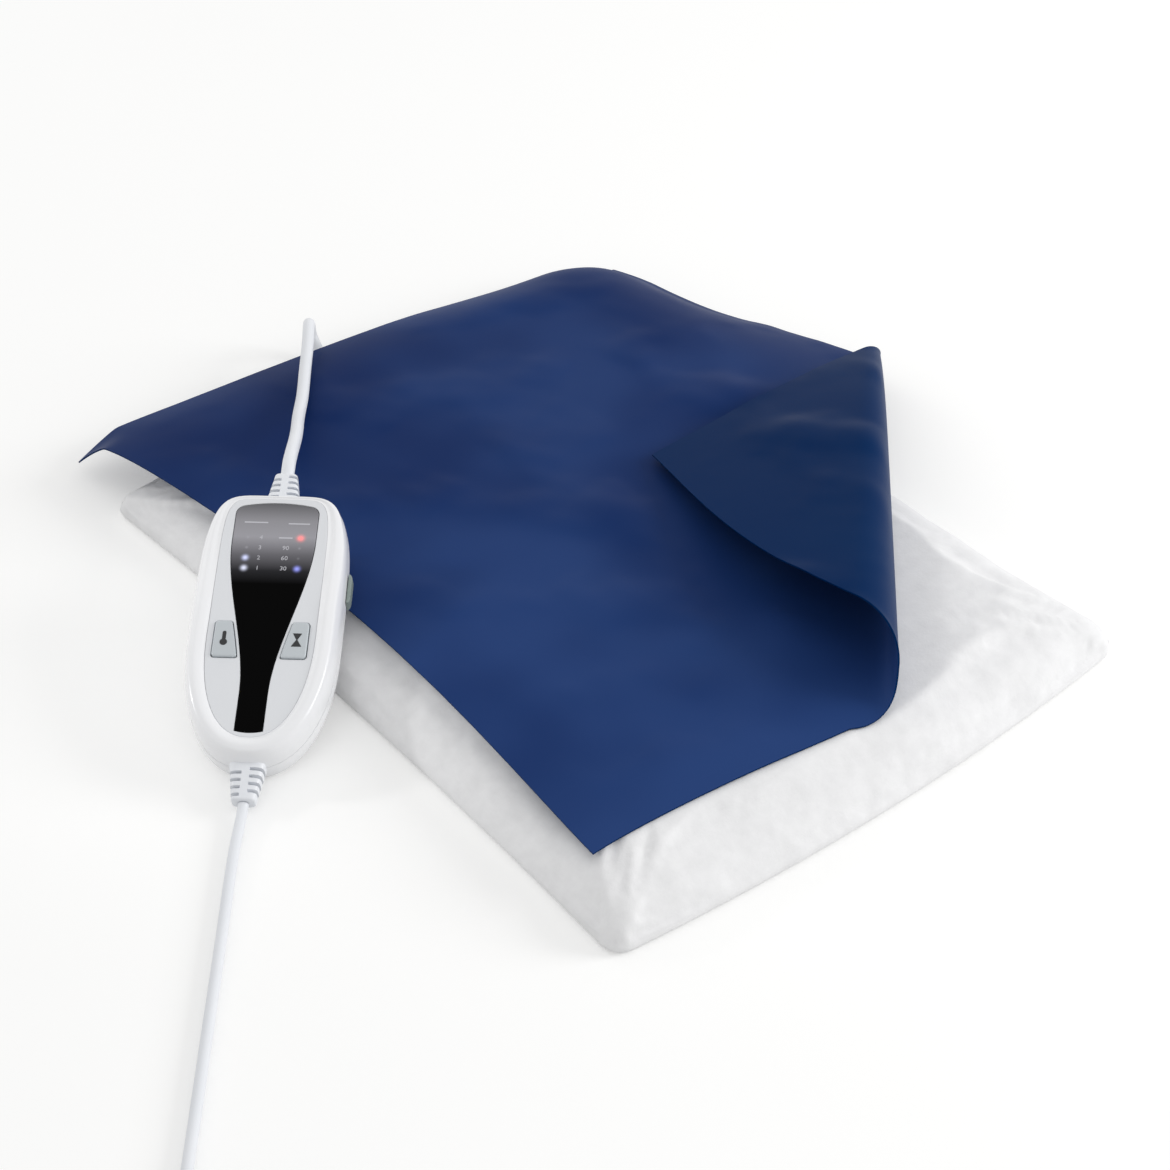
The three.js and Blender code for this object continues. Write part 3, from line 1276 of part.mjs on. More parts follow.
// Pad with its heater
const pad = new THREE.Group();
pad.add(piece('pad_upper_layer', cut(padUpper(), [glandHole, pressedHollow()]), 'fleece'));
pad.add(piece('pad_lower_layer', cut(padLower(), [glandHole]), 'fleece'));
pad.add(piece('heater_felt', felt(), 'felt'));
pad.add(piece('heating_wire', tube(wirePoints(), WIRE_DIAMETER / 2, 6), 'wire'));
const terminalLow = feltTop + GAP;
const terminalAt = [terminalX, 0, terminalLow + TERMINAL_SIZE[2] / 2];
pad.add(piece('terminal_block', box(TERMINAL_SIZE, terminalAt), 'shell'));
pad.add(piece('pad_cord_gland', gland(), 'cord'));
const wirePitch = (2 * (padHalfY - WIRE_BORDER)) / (WIRE_RUNS - 1);
[[-1, 'thermostat_1'], [1, 'thermostat_2']].forEach(([side, name]) => {
  const at = [side * PAD_LENGTH * 0.2, 0, terminalLow + THERMOSTAT_SIZE[2] / 2];
  const [long, , high] = THERMOSTAT_SIZE;
  const wide = Math.min(THERMOSTAT_SIZE[1], wirePitch - WIRE_DIAMETER - 2 * GAP);
  pad.add(piece(name, box([long, wide, high], at), 'component'));
});

const part = new THREE.Group();
part.add(pad);
part.add(piece('cover_sheet', coverSheet(), 'cover'));
part.add(handset);
part.add(piece('pad_cord', tube(padCord(), PAD_CORD_DIAMETER / 2, CORD_SIDES), 'cord'));
part.add(piece('mains_cord', tube(mainsCord(), MAINS_CORD_DIAMETER / 2, CORD_SIDES), 'cord'));
part.add(piece('mains_cord_coil', tube(coil.points, MAINS_CORD_DIAMETER / 2, COIL_SIDES), 'cord'));
part.add(piece('coil_tie', coilTie(), 'tie'));
part.add(plug);

export default part;
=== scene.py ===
"""Heating pad with a hand controller: fleece pad, folded navy cover, controller, two cords and a plug.

Sizes are millimetres in the pad's own frame: X along the pad, Y across it, Z up from its underside.
"""
import math

import bpy
import numpy as np
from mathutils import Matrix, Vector


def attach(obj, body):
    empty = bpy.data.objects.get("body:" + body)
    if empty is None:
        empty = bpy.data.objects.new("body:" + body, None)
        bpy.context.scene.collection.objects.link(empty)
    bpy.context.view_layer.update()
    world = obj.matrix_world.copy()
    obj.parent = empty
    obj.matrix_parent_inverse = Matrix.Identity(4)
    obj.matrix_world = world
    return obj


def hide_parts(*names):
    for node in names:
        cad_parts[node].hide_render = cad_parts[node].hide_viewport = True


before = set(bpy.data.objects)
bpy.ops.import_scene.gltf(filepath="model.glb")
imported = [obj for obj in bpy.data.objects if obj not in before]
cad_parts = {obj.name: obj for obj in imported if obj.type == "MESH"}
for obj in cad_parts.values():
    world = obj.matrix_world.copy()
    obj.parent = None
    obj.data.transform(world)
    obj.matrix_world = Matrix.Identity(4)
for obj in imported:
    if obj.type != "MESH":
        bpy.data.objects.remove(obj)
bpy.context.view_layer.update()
scene = bpy.context.scene
scene.view_settings.view_transform = "Standard"

MM = 0.001
BODY = "pad_and_controller"
UP = np.array([0.0, 0.0, 1.0])
GAP = 0.3  # between pieces that don't touch
LOOKING = np.array([-0.7743, 0.635])  # the camera's direction in plan; the mains cord runs the other way

# Fleece pad
PAD_X, PAD_Y = 200.0, 155.0
PAD_CORNER, PAD_CORNER_TOP = 9.0, 24.0  # at the floor, and over the rounded edge
PAD_SIDE_SWELL, PAD_FRONT_DRAWN = 9.0, 6.0
PAD_RIM, PAD_CROWN = 24.4, 1.4
PAD_SEAM, PAD_EDGE_ROUND, PAD_FOOT_ROUND = 5.0, 19.0, 2.5
PAD_EDGE_ARC = 30.0  # length of the rounded edge, measured over it
# half sizes of the pad's skin, unrolled
PAD_FLAT_X, PAD_FLAT_Y = PAD_EDGE_ARC + PAD_X - PAD_EDGE_ROUND, PAD_EDGE_ARC + PAD_Y - PAD_EDGE_ROUND
PAD_MESH = 3.4  # spacing of the points that are puffed up
PAD_SINK = 5.5  # how far the fleece sinks along the cover's front edge
# how much smaller the skin starts when it is puffed up, the furthest that a point moves, steps and pressure
PUFF_ROOM, PUFF_MOST, PUFF_STEPS, PUFF_PRESSURE = 1.2, 3.0, 20, 4.0

# Moisture cover
COVER_THICK = 0.8
COVER_FRONT, COVER_LEFT, COVER_BACK = np.array([[166.0, -138], [-241, -146.6], [-226, 208]])
COVER_FRONT_BOW, COVER_RIGHT_BOW = 17.5, 33.0
ROLL_NEAR, ROLL_FAR = np.array([[179.0, 26], [-30, 226]])
ROLL_NEAR_RADIUS, ROLL_FAR_RADIUS = 19.0, 8.0
ROLL_TURN, ROLL_PINCH = 1.06 * math.pi, 1.6
FLAP_TIP, FLAP_LIFT = np.array([-29.0, 62]), 1.9
CURL_REACH, CURL_DROP = 20.0, 11.0
FALL_BACK, FALL_BESIDE_ROLL, FALL_LEFT, FALL_LEFT_BACK = 60.0, 340.0, 150.0, 45.0
FALL_STEEPEST, FALL_INSET = 1.08, 9.0

# Controller, in its own frame: x across, y from its lower end up, z out of its face
HAND_LENGTH, HAND_WIDTH, HAND_WIDEST = 142.0, 69.0, 64.0
HAND_TOP_POWER, HAND_LOW_POWER = 5.0, 2.25
HAND_WALL, HAND_PARTING, HAND_FACE = 2.0, 13.0, 24.0
HAND_RIM, HAND_RIM_FADE = 1.7, (72.0, 118.0)
HAND_SOLE = 7.0 * np.array([[0, 1.05], [0.14, 0.48], [0.5, 0.12], [1, 0]])
# the housing's sole as the fleece meets it, inset and height, and the room between the two
PRESS_IN, PRESS_UP, PRESS_ROOM = [0, 1.0, 3.5, 7.0], [7.35, 3.36, 0.84, 0], 1.2
FACE_SIDE, FACE_LOW, FACE_TOP, FACE_TOP_POWER = 9.7, 10.0, 3.4, 8.0
FACE_THICK, FACE_LEDGE, LEDGE_THICK = 2.4, 2.0, 1.8
WINDOW_LOW, WINDOW_HIGH, WINDOW_ARCH, WINDOW_CORNER = 13.5, 134.4, 1.6, 4.5
WINDOW_LOW_HALF, WINDOW_TOP_HALF, WINDOW_NARROWS = 6.2, 19.3, (32.0, 115.0)
WINDOW_THICK, WINDOW_PROUD = 1.3, 0.15
KEY_LOW, KEY_HIGH, KEY_OUTER, KEY_TO_WINDOW, KEY_PROUD = 51.0, 70.0, 21.4, 1.9, 1.0
HAND_POINTS, KEY_POINTS = 208, 96  # points round the outlines of the housing and of a key
LED_COLUMN, LED_FIRST, LED_PITCH, NUMBER_SIZE = 12.3, 116.5, 5.7, 3.2
SLIDER_MIDDLE, SLIDER_LENGTH, SLIDER_HEIGHT, SLIDER_PROUD, SLIDER_Z = 97.0, 16.0, 7.0, 1.8, 9.3
BOOT_BASE, BOOT_TIP = np.array([16.0, 11.0]), np.array([11.0, 8.4])
BOOT_LENGTH, BOOT_INSIDE = 17.0, 5.8
BOOT_SLOTS, BOOT_SLOT, BOOT_SPINE = 4, 1.5, 3.4
HAND_HEADING, HAND_TILT = math.radians(138.3), math.radians(18)
HAND_AT = np.array([14.5, -210.0, -1.8805])
HAND_ACROSS = np.array([math.sin(HAND_HEADING), -math.cos(HAND_HEADING), 0.0])
HAND_ALONG = np.array([math.cos(HAND_HEADING) * math.cos(HAND_TILT),
                       math.sin(HAND_HEADING) * math.cos(HAND_TILT), math.sin(HAND_TILT)])
HAND_OUT = np.cross(HAND_ACROSS, HAND_ALONG)

# Cords, coil and plug
PAD_CORD, MAINS_CORD = 6.5, 5.0
GLAND_Z, GLAND_END, GLAND_BASE, GLAND_TIP = 8.0, -218.0, 6.25, 4.5
COIL_AT = np.array([249.0, -350.0])
COIL_IN = -LOOKING / math.hypot(*LOOKING)
COIL_OUTER, COIL_TURNS, COIL_PITCH, COIL_LIFT, COIL_TAIL = 40.0, 7.25, 5.6, 1.6, 26.0
TIE_THICK, TIE_ROOM, TIE_CORNER, TIE_ANGLE = 1.0, 0.6, 3.0, 2.2
PLUG_LENGTH, PLUG_THICK, PLUG_BOOT = 36.0, 13.6, 22.0
PIN_RADIUS, PIN_LENGTH, PIN_SPACING, PIN_SLEEVE = 2.0, 19.0, 18.6, 10.0

# Camera and light
CAMERA_AT, CAMERA_DOWN, CAMERA_LENS = (0.7004, -0.5806, 0.720), math.radians(38.5), 72.43
SURROUND = 0.68  # what the white surround gives as light; it is seen as 1
FLOOR_LIFT = 0.28  # glow that makes the floor white where nothing shades it


# Working with points

def unit(v):
    """Vectors brought to length one."""
    return v / np.maximum(np.linalg.norm(v, axis=-1, keepdims=True), 1e-12)


def ease(x, low, high):
    """0 before low, 1 after high, and 3t^2 - 2t^3 in between."""
    t = np.clip((np.asarray(x, float) - low) / (high - low), 0, 1)
    return t * t * (3 - 2 * t)


def rounded_up(over, soft):
    """The larger of 0 and a value, with its corner rounded: soft times log(1 + exp(value / soft))."""
    return soft * np.logaddexp(0, over / soft)


def ripple(points, wave, count, seed):
    """Uneven field of about unit height: the sum of many flat waves of about one wavelength, each its own way."""
    rng = np.random.default_rng(seed)
    ways = unit(rng.normal(size=(count, points.shape[-1])))
    turns = ways * (2 * np.pi / (wave * rng.uniform(0.7, 1.4, (count, 1))))
    return np.sin(points @ turns.T + rng.uniform(0, 2 * np.pi, count)).sum(-1) * math.sqrt(2 / count)


def bent(v, power):
    """A number's size raised to a power, its sign kept; it bends a circle to a superellipse."""
    return np.sign(v) * np.abs(v) ** power


def circle(count):
    """Angles spaced evenly round a circle."""
    return np.linspace(0, 2 * np.pi, count, endpoint=False)


def run_along(points):
    """The distance along a line at each of its points."""
    return np.concatenate([[0], np.cumsum(np.linalg.norm(np.diff(points, axis=0), axis=1))])


def evenly(points, count):
    """The same line with its points spaced evenly along its length."""
    run = run_along(points)
    at = np.linspace(0, run[-1], count)
    return np.stack([np.interp(at, run, points[:, k]) for k in range(points.shape[1])], -1)


def through(stops, steps):
    """Smooth path of whole arrays: between two stops a cubic whose slope at a stop is half the way between its
    neighbours, as many steps to each."""
    stops = np.asarray(stops, float)
    ends = np.concatenate([[2 * stops[0] - stops[1]], stops, [2 * stops[-1] - stops[-2]]])
    a, b, c, d = ends[:-3], ends[1:-2], ends[2:-1], ends[3:]
    t = (np.arange(steps) / steps).reshape((1, steps) + (1,) * (stops.ndim - 1))
    a, b, c, d = (v[:, None] for v in (a, b, c, d))
    curve = b + 0.5 * t * (c - a + t * (2 * a - 5 * b + 4 * c - d + t * (3 * (b - c) + d - a)))
    return np.concatenate([curve.reshape((-1,) + stops.shape[1:]), stops[-1:]])


def laid(points, step):
    """A bent wire through points: between two of them a cubic whose end slopes follow the square roots of the spans
    of its four nearest points, then points spaced evenly along it."""
    p = np.asarray(points, float)
    p = np.concatenate([[2 * p[0] - p[1]], p, [2 * p[-1] - p[-2]]])
    span = np.maximum(np.linalg.norm(np.diff(p, axis=0), axis=1), 1e-6)[:, None] ** 0.5
    a, b, c, d = p[:-3], p[1:-2], p[2:-1], p[3:]
    s, m, e = span[:-2], span[1:-1], span[2:]
    leave = m * ((b - a) / s - (c - a) / (s + m) + (c - b) / m)
    reach = m * ((c - b) / m - (d - b) / (m + e) + (d - c) / e)
    t = np.linspace(0, 1, 24, endpoint=False)[None, :, None]
    b, c, leave, reach = (v[:, None] for v in (b, c, leave, reach))
    curve = b + t * (leave + t * (3 * (c - b) - 2 * leave - reach + t * (2 * (b - c) + leave + reach)))
    curve = np.concatenate([curve.reshape(-1, 3), p[-2:-1]])
    return evenly(curve, max(5, round(run_along(curve)[-1] / step) + 1))


def hand(local):
    """From the controller's own frame to the pad's: x along its width, y along its length, z out of its face."""
    local = np.asarray(local, float)
    turned = local[..., :1] * HAND_ACROSS + local[..., 1:2] * HAND_ALONG + local[..., 2:3] * HAND_OUT
    return HAND_AT + turned


def in_hand(world):
    """From the pad's frame to the controller's own: the shares of its three directions."""
    away = np.asarray(world, float) - HAND_AT
    return np.stack([away @ HAND_ACROSS, away @ HAND_ALONG, away @ HAND_OUT], -1)


# Making pieces

def squares(rows, cols, wrap_rows=False, wrap_cols=False):
    """Four-cornered faces of a grid of points that is stored row by row; a wrapped side joins its last to its
    first."""
    i, j = np.meshgrid(np.arange(rows if wrap_rows else rows - 1), np.arange(cols if wrap_cols else cols - 1),
                       indexing="ij")
    i2, j2 = (i + 1) % rows, (j + 1) % cols
    return np.stack([i * cols + j, i * cols + j2, i2 * cols + j2, i2 * cols + j], -1).reshape(-1, 4)


def lofted(rings, closed=False):
    """Skin through rings of equally many points: faces between neighbours, and a flat face on each end ring unless
    the last ring joins the first."""
    rows, cols = rings.shape[:2]
    faces = [squares(rows, cols, closed, True)]
    if not closed:
        faces += [np.arange(cols)[None, ::-1], ((rows - 1) * cols + np.arange(cols))[None]]
    return rings.reshape(-1, 3), faces


def border(rows, cols):
    """The points round the edge of a grid, in order."""
    index = np.arange(rows * cols).reshape(rows, cols)
    return np.concatenate([index[:-1, 0], index[-1, :-1], index[:0:-1, -1], index[0, :0:-1]])


def back_to_back(rows, cols):
    """Faces of two copies of a grid, one behind the other, and of the wall that joins their edges."""
    face, count, rim = squares(rows, cols), rows * cols, border(rows, cols)
    wall = np.stack([np.roll(rim, -1), rim, rim + count, np.roll(rim, -1) + count], -1)
    return [face, face[:, ::-1] + count, wall]


def turned_out(points, faces):
    """Faces turned so that they point outwards: the sum of a.(b x c) over their triangles is a closed skin's volume
    six times over, and it is negative when they point in."""
    total = 0.0
    for rows in faces:
        for k in range(1, rows.shape[1] - 1):
            a, b, c = points[rows[:, 0]], points[rows[:, k]], points[rows[:, k + 1]]
            total += np.einsum("ij,ij->", a, np.cross(b, c))
    return faces if total >= 0 else [rows[:, ::-1] for rows in faces]


def skin(name, points, faces):
    """A mesh from points in millimetres, its faces turned out."""
    mesh = bpy.data.meshes.new(name)
    rows = [row for group in turned_out(points, faces) for row in group.tolist()]
    mesh.from_pydata((points * MM).tolist(), [], rows)
    return mesh


def shown(name, data):
    """Puts a mesh, curve, lamp or camera into the scene as an object."""
    made = bpy.data.objects.new(name, data)
    scene.collection.objects.link(made)
    return made


def piece(name, points, faces, look, *pattern, **options):
    """One finished piece from points in millimetres."""
    return placed(name, skin(name, points, faces), look, *pattern, **options)


def placed(name, mesh, look, uv=None, sharp=40, body=BODY, slot=None, stands_for=()):
    """Gives a mesh its finish, its flat pattern coordinates and the body that it rides on. It is smooth, but for
    edges sharper than an angle."""
    mesh.polygons.foreach_set("use_smooth", np.ones(len(mesh.polygons), bool))
    if sharp:
        mesh.set_sharp_from_angle(angle=math.radians(sharp))
    if uv is not None:
        corner = np.empty(len(mesh.loops), np.int32)
        mesh.loops.foreach_get("vertex_index", corner)
        layer = mesh.uv_layers.new(name="pattern")
        layer.data.foreach_set("uv", np.asarray(uv, np.float32).reshape(-1, 2)[corner].ravel())
    mesh.materials.append(look)
    made = shown(name, mesh)
    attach(made, body)
    if stands_for:
        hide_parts(*stands_for)
    return made


def points_of(mesh):
    """A mesh's points, in millimetres."""
    flat = np.empty(len(mesh.vertices) * 3, np.float32)
    mesh.vertices.foreach_get("co", flat)
    return flat.reshape(-1, 3).astype(float) / MM


def plate(outlines, low, high, edge):
    """Flat plate in the controller's frame: an outline and its holes, filled, given a thickness from low to high,
    with edges rounded by a quarter circle of radius edge. Gives the mesh and its flat coordinates."""
    curve = bpy.data.curves.new("plate", "CURVE")
    curve.dimensions, curve.fill_mode = "2D", "BOTH"
    curve.extrude = ((high - low) / 2 - edge) * MM
    curve.bevel_depth, curve.bevel_resolution, curve.offset = edge * MM, 2, -edge * MM
    for outline in outlines:
        spline = curve.splines.new("POLY")
        spline.points.add(len(outline) - 1)
        spline.points.foreach_set("co", np.c_[outline * MM, np.zeros(len(outline)), np.ones(len(outline))].ravel())
        spline.use_cyclic_u = True
    return flattened(curve, (low + high) / 2)


def flattened(curve, height):
    """A flat curve or text made a mesh, its place in the controller's frame put into its points."""
    drawn = shown("plate", curve)
    mesh = bpy.data.meshes.new_from_object(drawn.evaluated_get(bpy.context.evaluated_depsgraph_get()))
    bpy.data.objects.remove(drawn)
    bpy.data.curves.remove(curve)
    while mesh.uv_layers:
        mesh.uv_layers.remove(mesh.uv_layers[0])
    local = points_of(mesh)
    local[:, 2] += height
    mesh.vertices.foreach_set("co", (hand(local) * MM).astype(np.float32).ravel())
    mesh.update()
    return mesh, (local[:, :2] + [HAND_LENGTH / 2, 0]) / HAND_LENGTH


# Finishes

def linear(code):
    """An sRGB hex colour as linear red, green, blue and alpha: below 0.04045 a twelfth, above it a power of 2.4."""
    share = np.array([int(code[k:k + 2], 16) for k in (1, 3, 5)]) / 255
    return (*np.where(share <= 0.04045, share / 12.92, ((share + 0.055) / 1.055) ** 2.4).tolist(), 1.0)


def add(tree, kind, inputs=None, **settings):
    """Adds one shader node with its settings, and its inputs as values or as links from other nodes."""
    made = tree.nodes.new("ShaderNode" + kind)
    for key, value in settings.items():
        setattr(made, key, value)
    for key, value in (inputs or {}).items():
        if isinstance(value, bpy.types.NodeSocket):
            tree.links.new(value, made.inputs[key])
        else:
            made.inputs[key].default_value = value
    return made


def finish(name, colour, roughness, **sockets):
    """A material with one surface shader; what is the same all over is set on it. Gives it, its nodes and shader."""
    made = bpy.data.materials.new(name)
    made.use_nodes = True
    tree = made.node_tree
    shader = tree.nodes["Principled BSDF"]
    shader.inputs["Base Color"].default_value = linear(colour)
    shader.inputs["Roughness"].default_value = roughness
    for key, value in sockets.items():
        shader.inputs[key.replace("_", " ")].default_value = value
    return made, tree, shader


def grained(name, colour, other, roughness, spread, grain, depth, patch=60, **sockets):
    """A moulded or pressed surface: its colour drifts between two shades over patches, its roughness varies by spread
    and a grain of the given width in millimetres stands out of it by depth."""
    made, tree, shader = finish(name, colour, roughness, **sockets)
    place = add(tree, "TexCoord").outputs["Object"]
    broad = add(tree, "TexNoise", {"Vector": place, "Scale": 1 / (patch * MM), "Detail": 2.0})
    shade = add(tree, "Mix", {0: broad.outputs[0], 6: linear(colour), 7: linear(other)}, data_type="RGBA")
    tree.links.new(shade.outputs[2], shader.inputs["Base Color"])
    dull = add(tree, "MapRange", {0: broad.outputs[0], 3: roughness - spread, 4: roughness + spread})
    tree.links.new(dull.outputs[0], shader.inputs["Roughness"])
    fine = add(tree, "TexNoise", {"Vector": place, "Scale": 1 / (grain * MM), "Detail": 3.0})
    bump = add(tree, "Bump", {"Height": fine.outputs[0], "Strength": 0.6, "Distance": depth * MM})
    tree.links.new(bump.outputs[0], shader.inputs["Normal"])
    return made


def fleece_finish():
    """Brushed polyester fleece: matt white pile in soft clumps, lighter where its fibres are seen edge-on."""
    made, tree, shader = finish("polyester_fleece", "#fafaf9", 0.95, Sheen_Weight=0.25, Sheen_Roughness=0.6,
                                Specular_IOR_Level=0.15)
    place = add(tree, "TexCoord").outputs["Object"]
    clump = add(tree, "TexNoise", {"Vector": place, "Scale": 1 / (9 * MM), "Detail": 4.0, "Roughness": 0.6})
    shade = add(tree, "ValToRGB", {0: clump.outputs[0]})
    shade.color_ramp.elements[0].position, shade.color_ramp.elements[1].position = 0.3, 0.7
    shade.color_ramp.elements[0].color = linear("#eeeeef")
    shade.color_ramp.elements[1].color = linear("#f6f6f7")
    tree.links.new(shade.outputs[0], shader.inputs["Base Color"])
    # the pile's fibres are too fine to show, so tufts of 1.6 mm stand for them
    tuft = add(tree, "TexNoise", {"Vector": place, "Scale": 1 / (1.6 * MM), "Detail": 4.0, "Roughness": 0.7})
    soft = add(tree, "Bump", {"Height": clump.outputs[0], "Strength": 0.2, "Distance": 0.6 * MM})
    bump = add(tree, "Bump", {"Height": tuft.outputs[0], "Strength": 0.3, "Distance": 0.35 * MM,
                              "Normal": soft.outputs[0]})
    tree.links.new(bump.outputs[0], shader.inputs["Normal"])
    return made


def cover_finish(name, dark, light, thread_colour, roughness, gloss):
    """Navy cotton: a close plain weave with a faint satin gloss. The shade drifts between dark and light over patches
    as wide as a hand, and painted sheen lightens it towards the pad's +X end."""
    made, tree, shader = finish(name, dark, roughness, Specular_IOR_Level=gloss)
    shader.inputs["Specular Tint"].default_value = linear("#6a8fd0")
    place = add(tree, "TexCoord")
    broad = add(tree, "TexNoise", {"Vector": place.outputs["UV"], "Scale": 1 / (130 * MM), "Detail": 2.0})
    patch = add(tree, "MapRange", {0: broad.outputs[0], 1: 0.36, 2: 0.66, 4: 0.55},
                interpolation_type="SMOOTHSTEP")
    across = add(tree, "SeparateXYZ", {0: place.outputs["UV"]})
    # painted sheen: the shade lightens towards the pad's +X end, where the back light glances off the cloth
    painted_sheen = add(tree, "MapRange", {0: across.outputs[0], 1: -0.2, 2: 0.18, 4: 0.45})
    pale = add(tree, "Math", {0: patch.outputs[0], 1: painted_sheen.outputs[0]}, operation="ADD", use_clamp=True)
    shade = add(tree, "Mix", {0: pale.outputs[0], 6: linear(dark), 7: linear(light)}, data_type="RGBA")
    # threads lie 0.35 mm apart in the cloth, and are drawn 0.9 mm apart so that they show
    turn = add(tree, "VectorMath", {0: place.outputs["UV"], 3: 2 * math.pi / (0.9 * MM)}, operation="SCALE")
    axes = add(tree, "SeparateXYZ", {0: turn.outputs[0]})
    warp = add(tree, "Math", {0: axes.outputs[0]}, operation="SINE")
    weft = add(tree, "Math", {0: axes.outputs[1]}, operation="SINE")
    weave = add(tree, "Math", {0: warp.outputs[0], 1: weft.outputs[0]}, operation="MULTIPLY")
    faint = add(tree, "Math", {0: weave.outputs[0], 1: 0.12}, operation="MULTIPLY")
    thread = add(tree, "Mix", {0: faint.outputs[0], 6: shade.outputs[2], 7: linear(thread_colour)},
                 data_type="RGBA")
    tree.links.new(thread.outputs[2], shader.inputs["Base Color"])
    bump = add(tree, "Bump", {"Height": weave.outputs[0], "Strength": 0.15, "Distance": 0.05 * MM})
    tree.links.new(bump.outputs[0], shader.inputs["Normal"])
    return made


LAMPS = [(side * LED_COLUMN, LED_FIRST - row * LED_PITCH) for side in (-1, 1) for row in range(4)]
LAMP_LIGHT = ["#3c3c40", "#55555a", "#cfd6ff", "#e4e8ff", "#ff3a1e", "#55555a", "#4c4c50", "#9aa0ff"]
LAMP_GLOW = [1.7, 1.7, 3.6, 3.6, 4.2, 1.5, 1.5, 3.6]


def window_finish():
    """Black acrylic lens: black, with a painted reflection that makes it silver grey near its upper end; lit where
    lamps shine through."""
    made, tree, shader = finish("smoked_acrylic", "#020202", 0.1, Specular_IOR_Level=0.03)
    place = add(tree, "TexCoord").outputs["UV"]
    height = add(tree, "SeparateXYZ", {0: place}).outputs[1]
    ramp = add(tree, "ValToRGB", {0: height})
    # painted reflection: grey bands near the upper end stand in for the lens's gloss reflecting the light
    reflection_bands = [(91, "#020202"), (98, "#2a2a2d"), (107, "#6c6b70"), (117, "#a3a2a8"), (126, "#98979c"),
             (136, "#68686b")]
    while len(ramp.color_ramp.elements) < len(reflection_bands):
        ramp.color_ramp.elements.new(0.5)
    for element, (at, colour) in zip(ramp.color_ramp.elements, reflection_bands):
        element.position, element.color = at / HAND_LENGTH, linear(colour)
    tree.links.new(ramp.outputs[0], shader.inputs["Base Color"])
    light = None
    for (x, y), colour, reach in zip(LAMPS, LAMP_LIGHT, LAMP_GLOW):
        spot = ((x + HAND_LENGTH / 2) / HAND_LENGTH, y / HAND_LENGTH, 0)
        away = add(tree, "VectorMath", {0: place, 1: spot}, operation="DISTANCE")
        near = add(tree, "MapRange", {0: away.outputs["Value"], 1: reach / HAND_LENGTH, 2: 0.0},
                   interpolation_type="SMOOTHSTEP")
        core = add(tree, "Math", {0: near.outputs[0], 1: 2.6}, operation="POWER")
        glow = add(tree, "VectorMath", {0: linear(colour)[:3], 3: core.outputs[0]}, operation="SCALE")
        if light:
            glow = add(tree, "VectorMath", {0: light, 1: glow.outputs[0]}, operation="ADD")
        light = glow.outputs[0]
    tree.links.new(light, shader.inputs["Emission Color"])
    shader.inputs["Emission Strength"].default_value = 1.0
    return made


FLEECE = fleece_finish()
# The cover's outer side, and its coated reverse, which is darker and a little greener
COVER = cover_finish("navy_cotton", "#082355", "#294378", "#324c84", 0.5, 0.08)
COVER_REVERSE = cover_finish("coated_navy_reverse", "#012452", "#032a57", "#0a3361", 0.36, 0.035)
WINDOW = window_finish()
# Injection-moulded ABS, polished mould: glossy white with the faintest waviness
HOUSING = grained("polished_white_abs", "#f7f7f9", "#f3f4f6", 0.2, 0.04, 3.0, 0.004)
# Injection-moulded ABS, fine spark-eroded mould: satin light grey
FACE = grained("satin_grey_abs", "#dfe1e5", "#e4e6e9", 0.42, 0.04, 0.5, 0.012)
# ABS with a silver lacquer: satin with fine flakes
KEY = grained("silver_lacquered_abs", "#b9bfc3", "#c6ccd0", 0.36, 0.05, 0.35, 0.01, Metallic=0.15)
# Soft-touch moulding of the power switch
SLIDER = grained("grey_green_abs", "#84908c", "#7c8884", 0.5, 0.04, 0.4, 0.012)
# Extruded white PVC: satin, with slow unevenness along it
SHEATH = grained("white_pvc", "#f0f2f6", "#e9ecf1", 0.42, 0.05, 1.2, 0.02, patch=25)
# Screen print
INK = grained("black_ink", "#17191b", "#1f2123", 0.5, 0.03, 0.3, 0.004)
PALE_INK = grained("grey_ink", "#c9c9cf", "#bdbdc4", 0.5, 0.03, 0.3, 0.004)
# Hook-and-loop strap: matt black nylon
STRAP = grained("black_nylon", "#232325", "#2c2c2f", 0.8, 0.05, 0.7, 0.1)
# Nickel-plated brass and steel: bright, with drawing marks
STEEL = grained("nickel_plate", "#c7c6c2", "#bcbbb7", 0.26, 0.06, 0.6, 0.004, Metallic=1.0)
SLEEVE = grained("black_pin_sleeve", "#1d1d1f", "#252527", 0.45, 0.04, 0.6, 0.01)
# Inside: felt, silicone wire insulation, solder mask, moulded epoxy, film capacitor box, lamp lens
FELT = grained("pressed_felt", "#dedad2", "#d2cdc4", 0.95, 0.03, 1.0, 0.3)
WIRE = grained("silicone_insulation", "#d9c7a6", "#cfbb98", 0.6, 0.05, 1.0, 0.02)
BOARD = grained("green_solder_mask", "#1f5a34", "#1b502e", 0.45, 0.08, 1.0, 0.02)
EPOXY = grained("black_epoxy", "#222326", "#2a2b2e", 0.55, 0.05, 0.5, 0.02)
FILM = grained("yellow_film_box", "#c9a227", "#bd9620", 0.5, 0.05, 0.8, 0.02)
LENS = grained("diffused_lamp_lens", "#dfe7f2", "#d3dcea", 0.25, 0.03, 0.6, 0.004)


# Camera

def make_camera():
    """Stands where the photograph was taken from."""
    data = bpy.data.cameras.new("camera")
    data.lens, data.sensor_width, data.clip_start, data.clip_end = CAMERA_LENS, 36.0, 0.02, 60.0
    camera = shown("camera", data)
    camera.location = CAMERA_AT
    ahead = (*unit(LOOKING) * math.cos(CAMERA_DOWN), -math.sin(CAMERA_DOWN))
    camera.rotation_euler = Vector(ahead).to_track_quat("-Z", "Y").to_euler()
    scene.camera = camera


make_camera()


# Cords

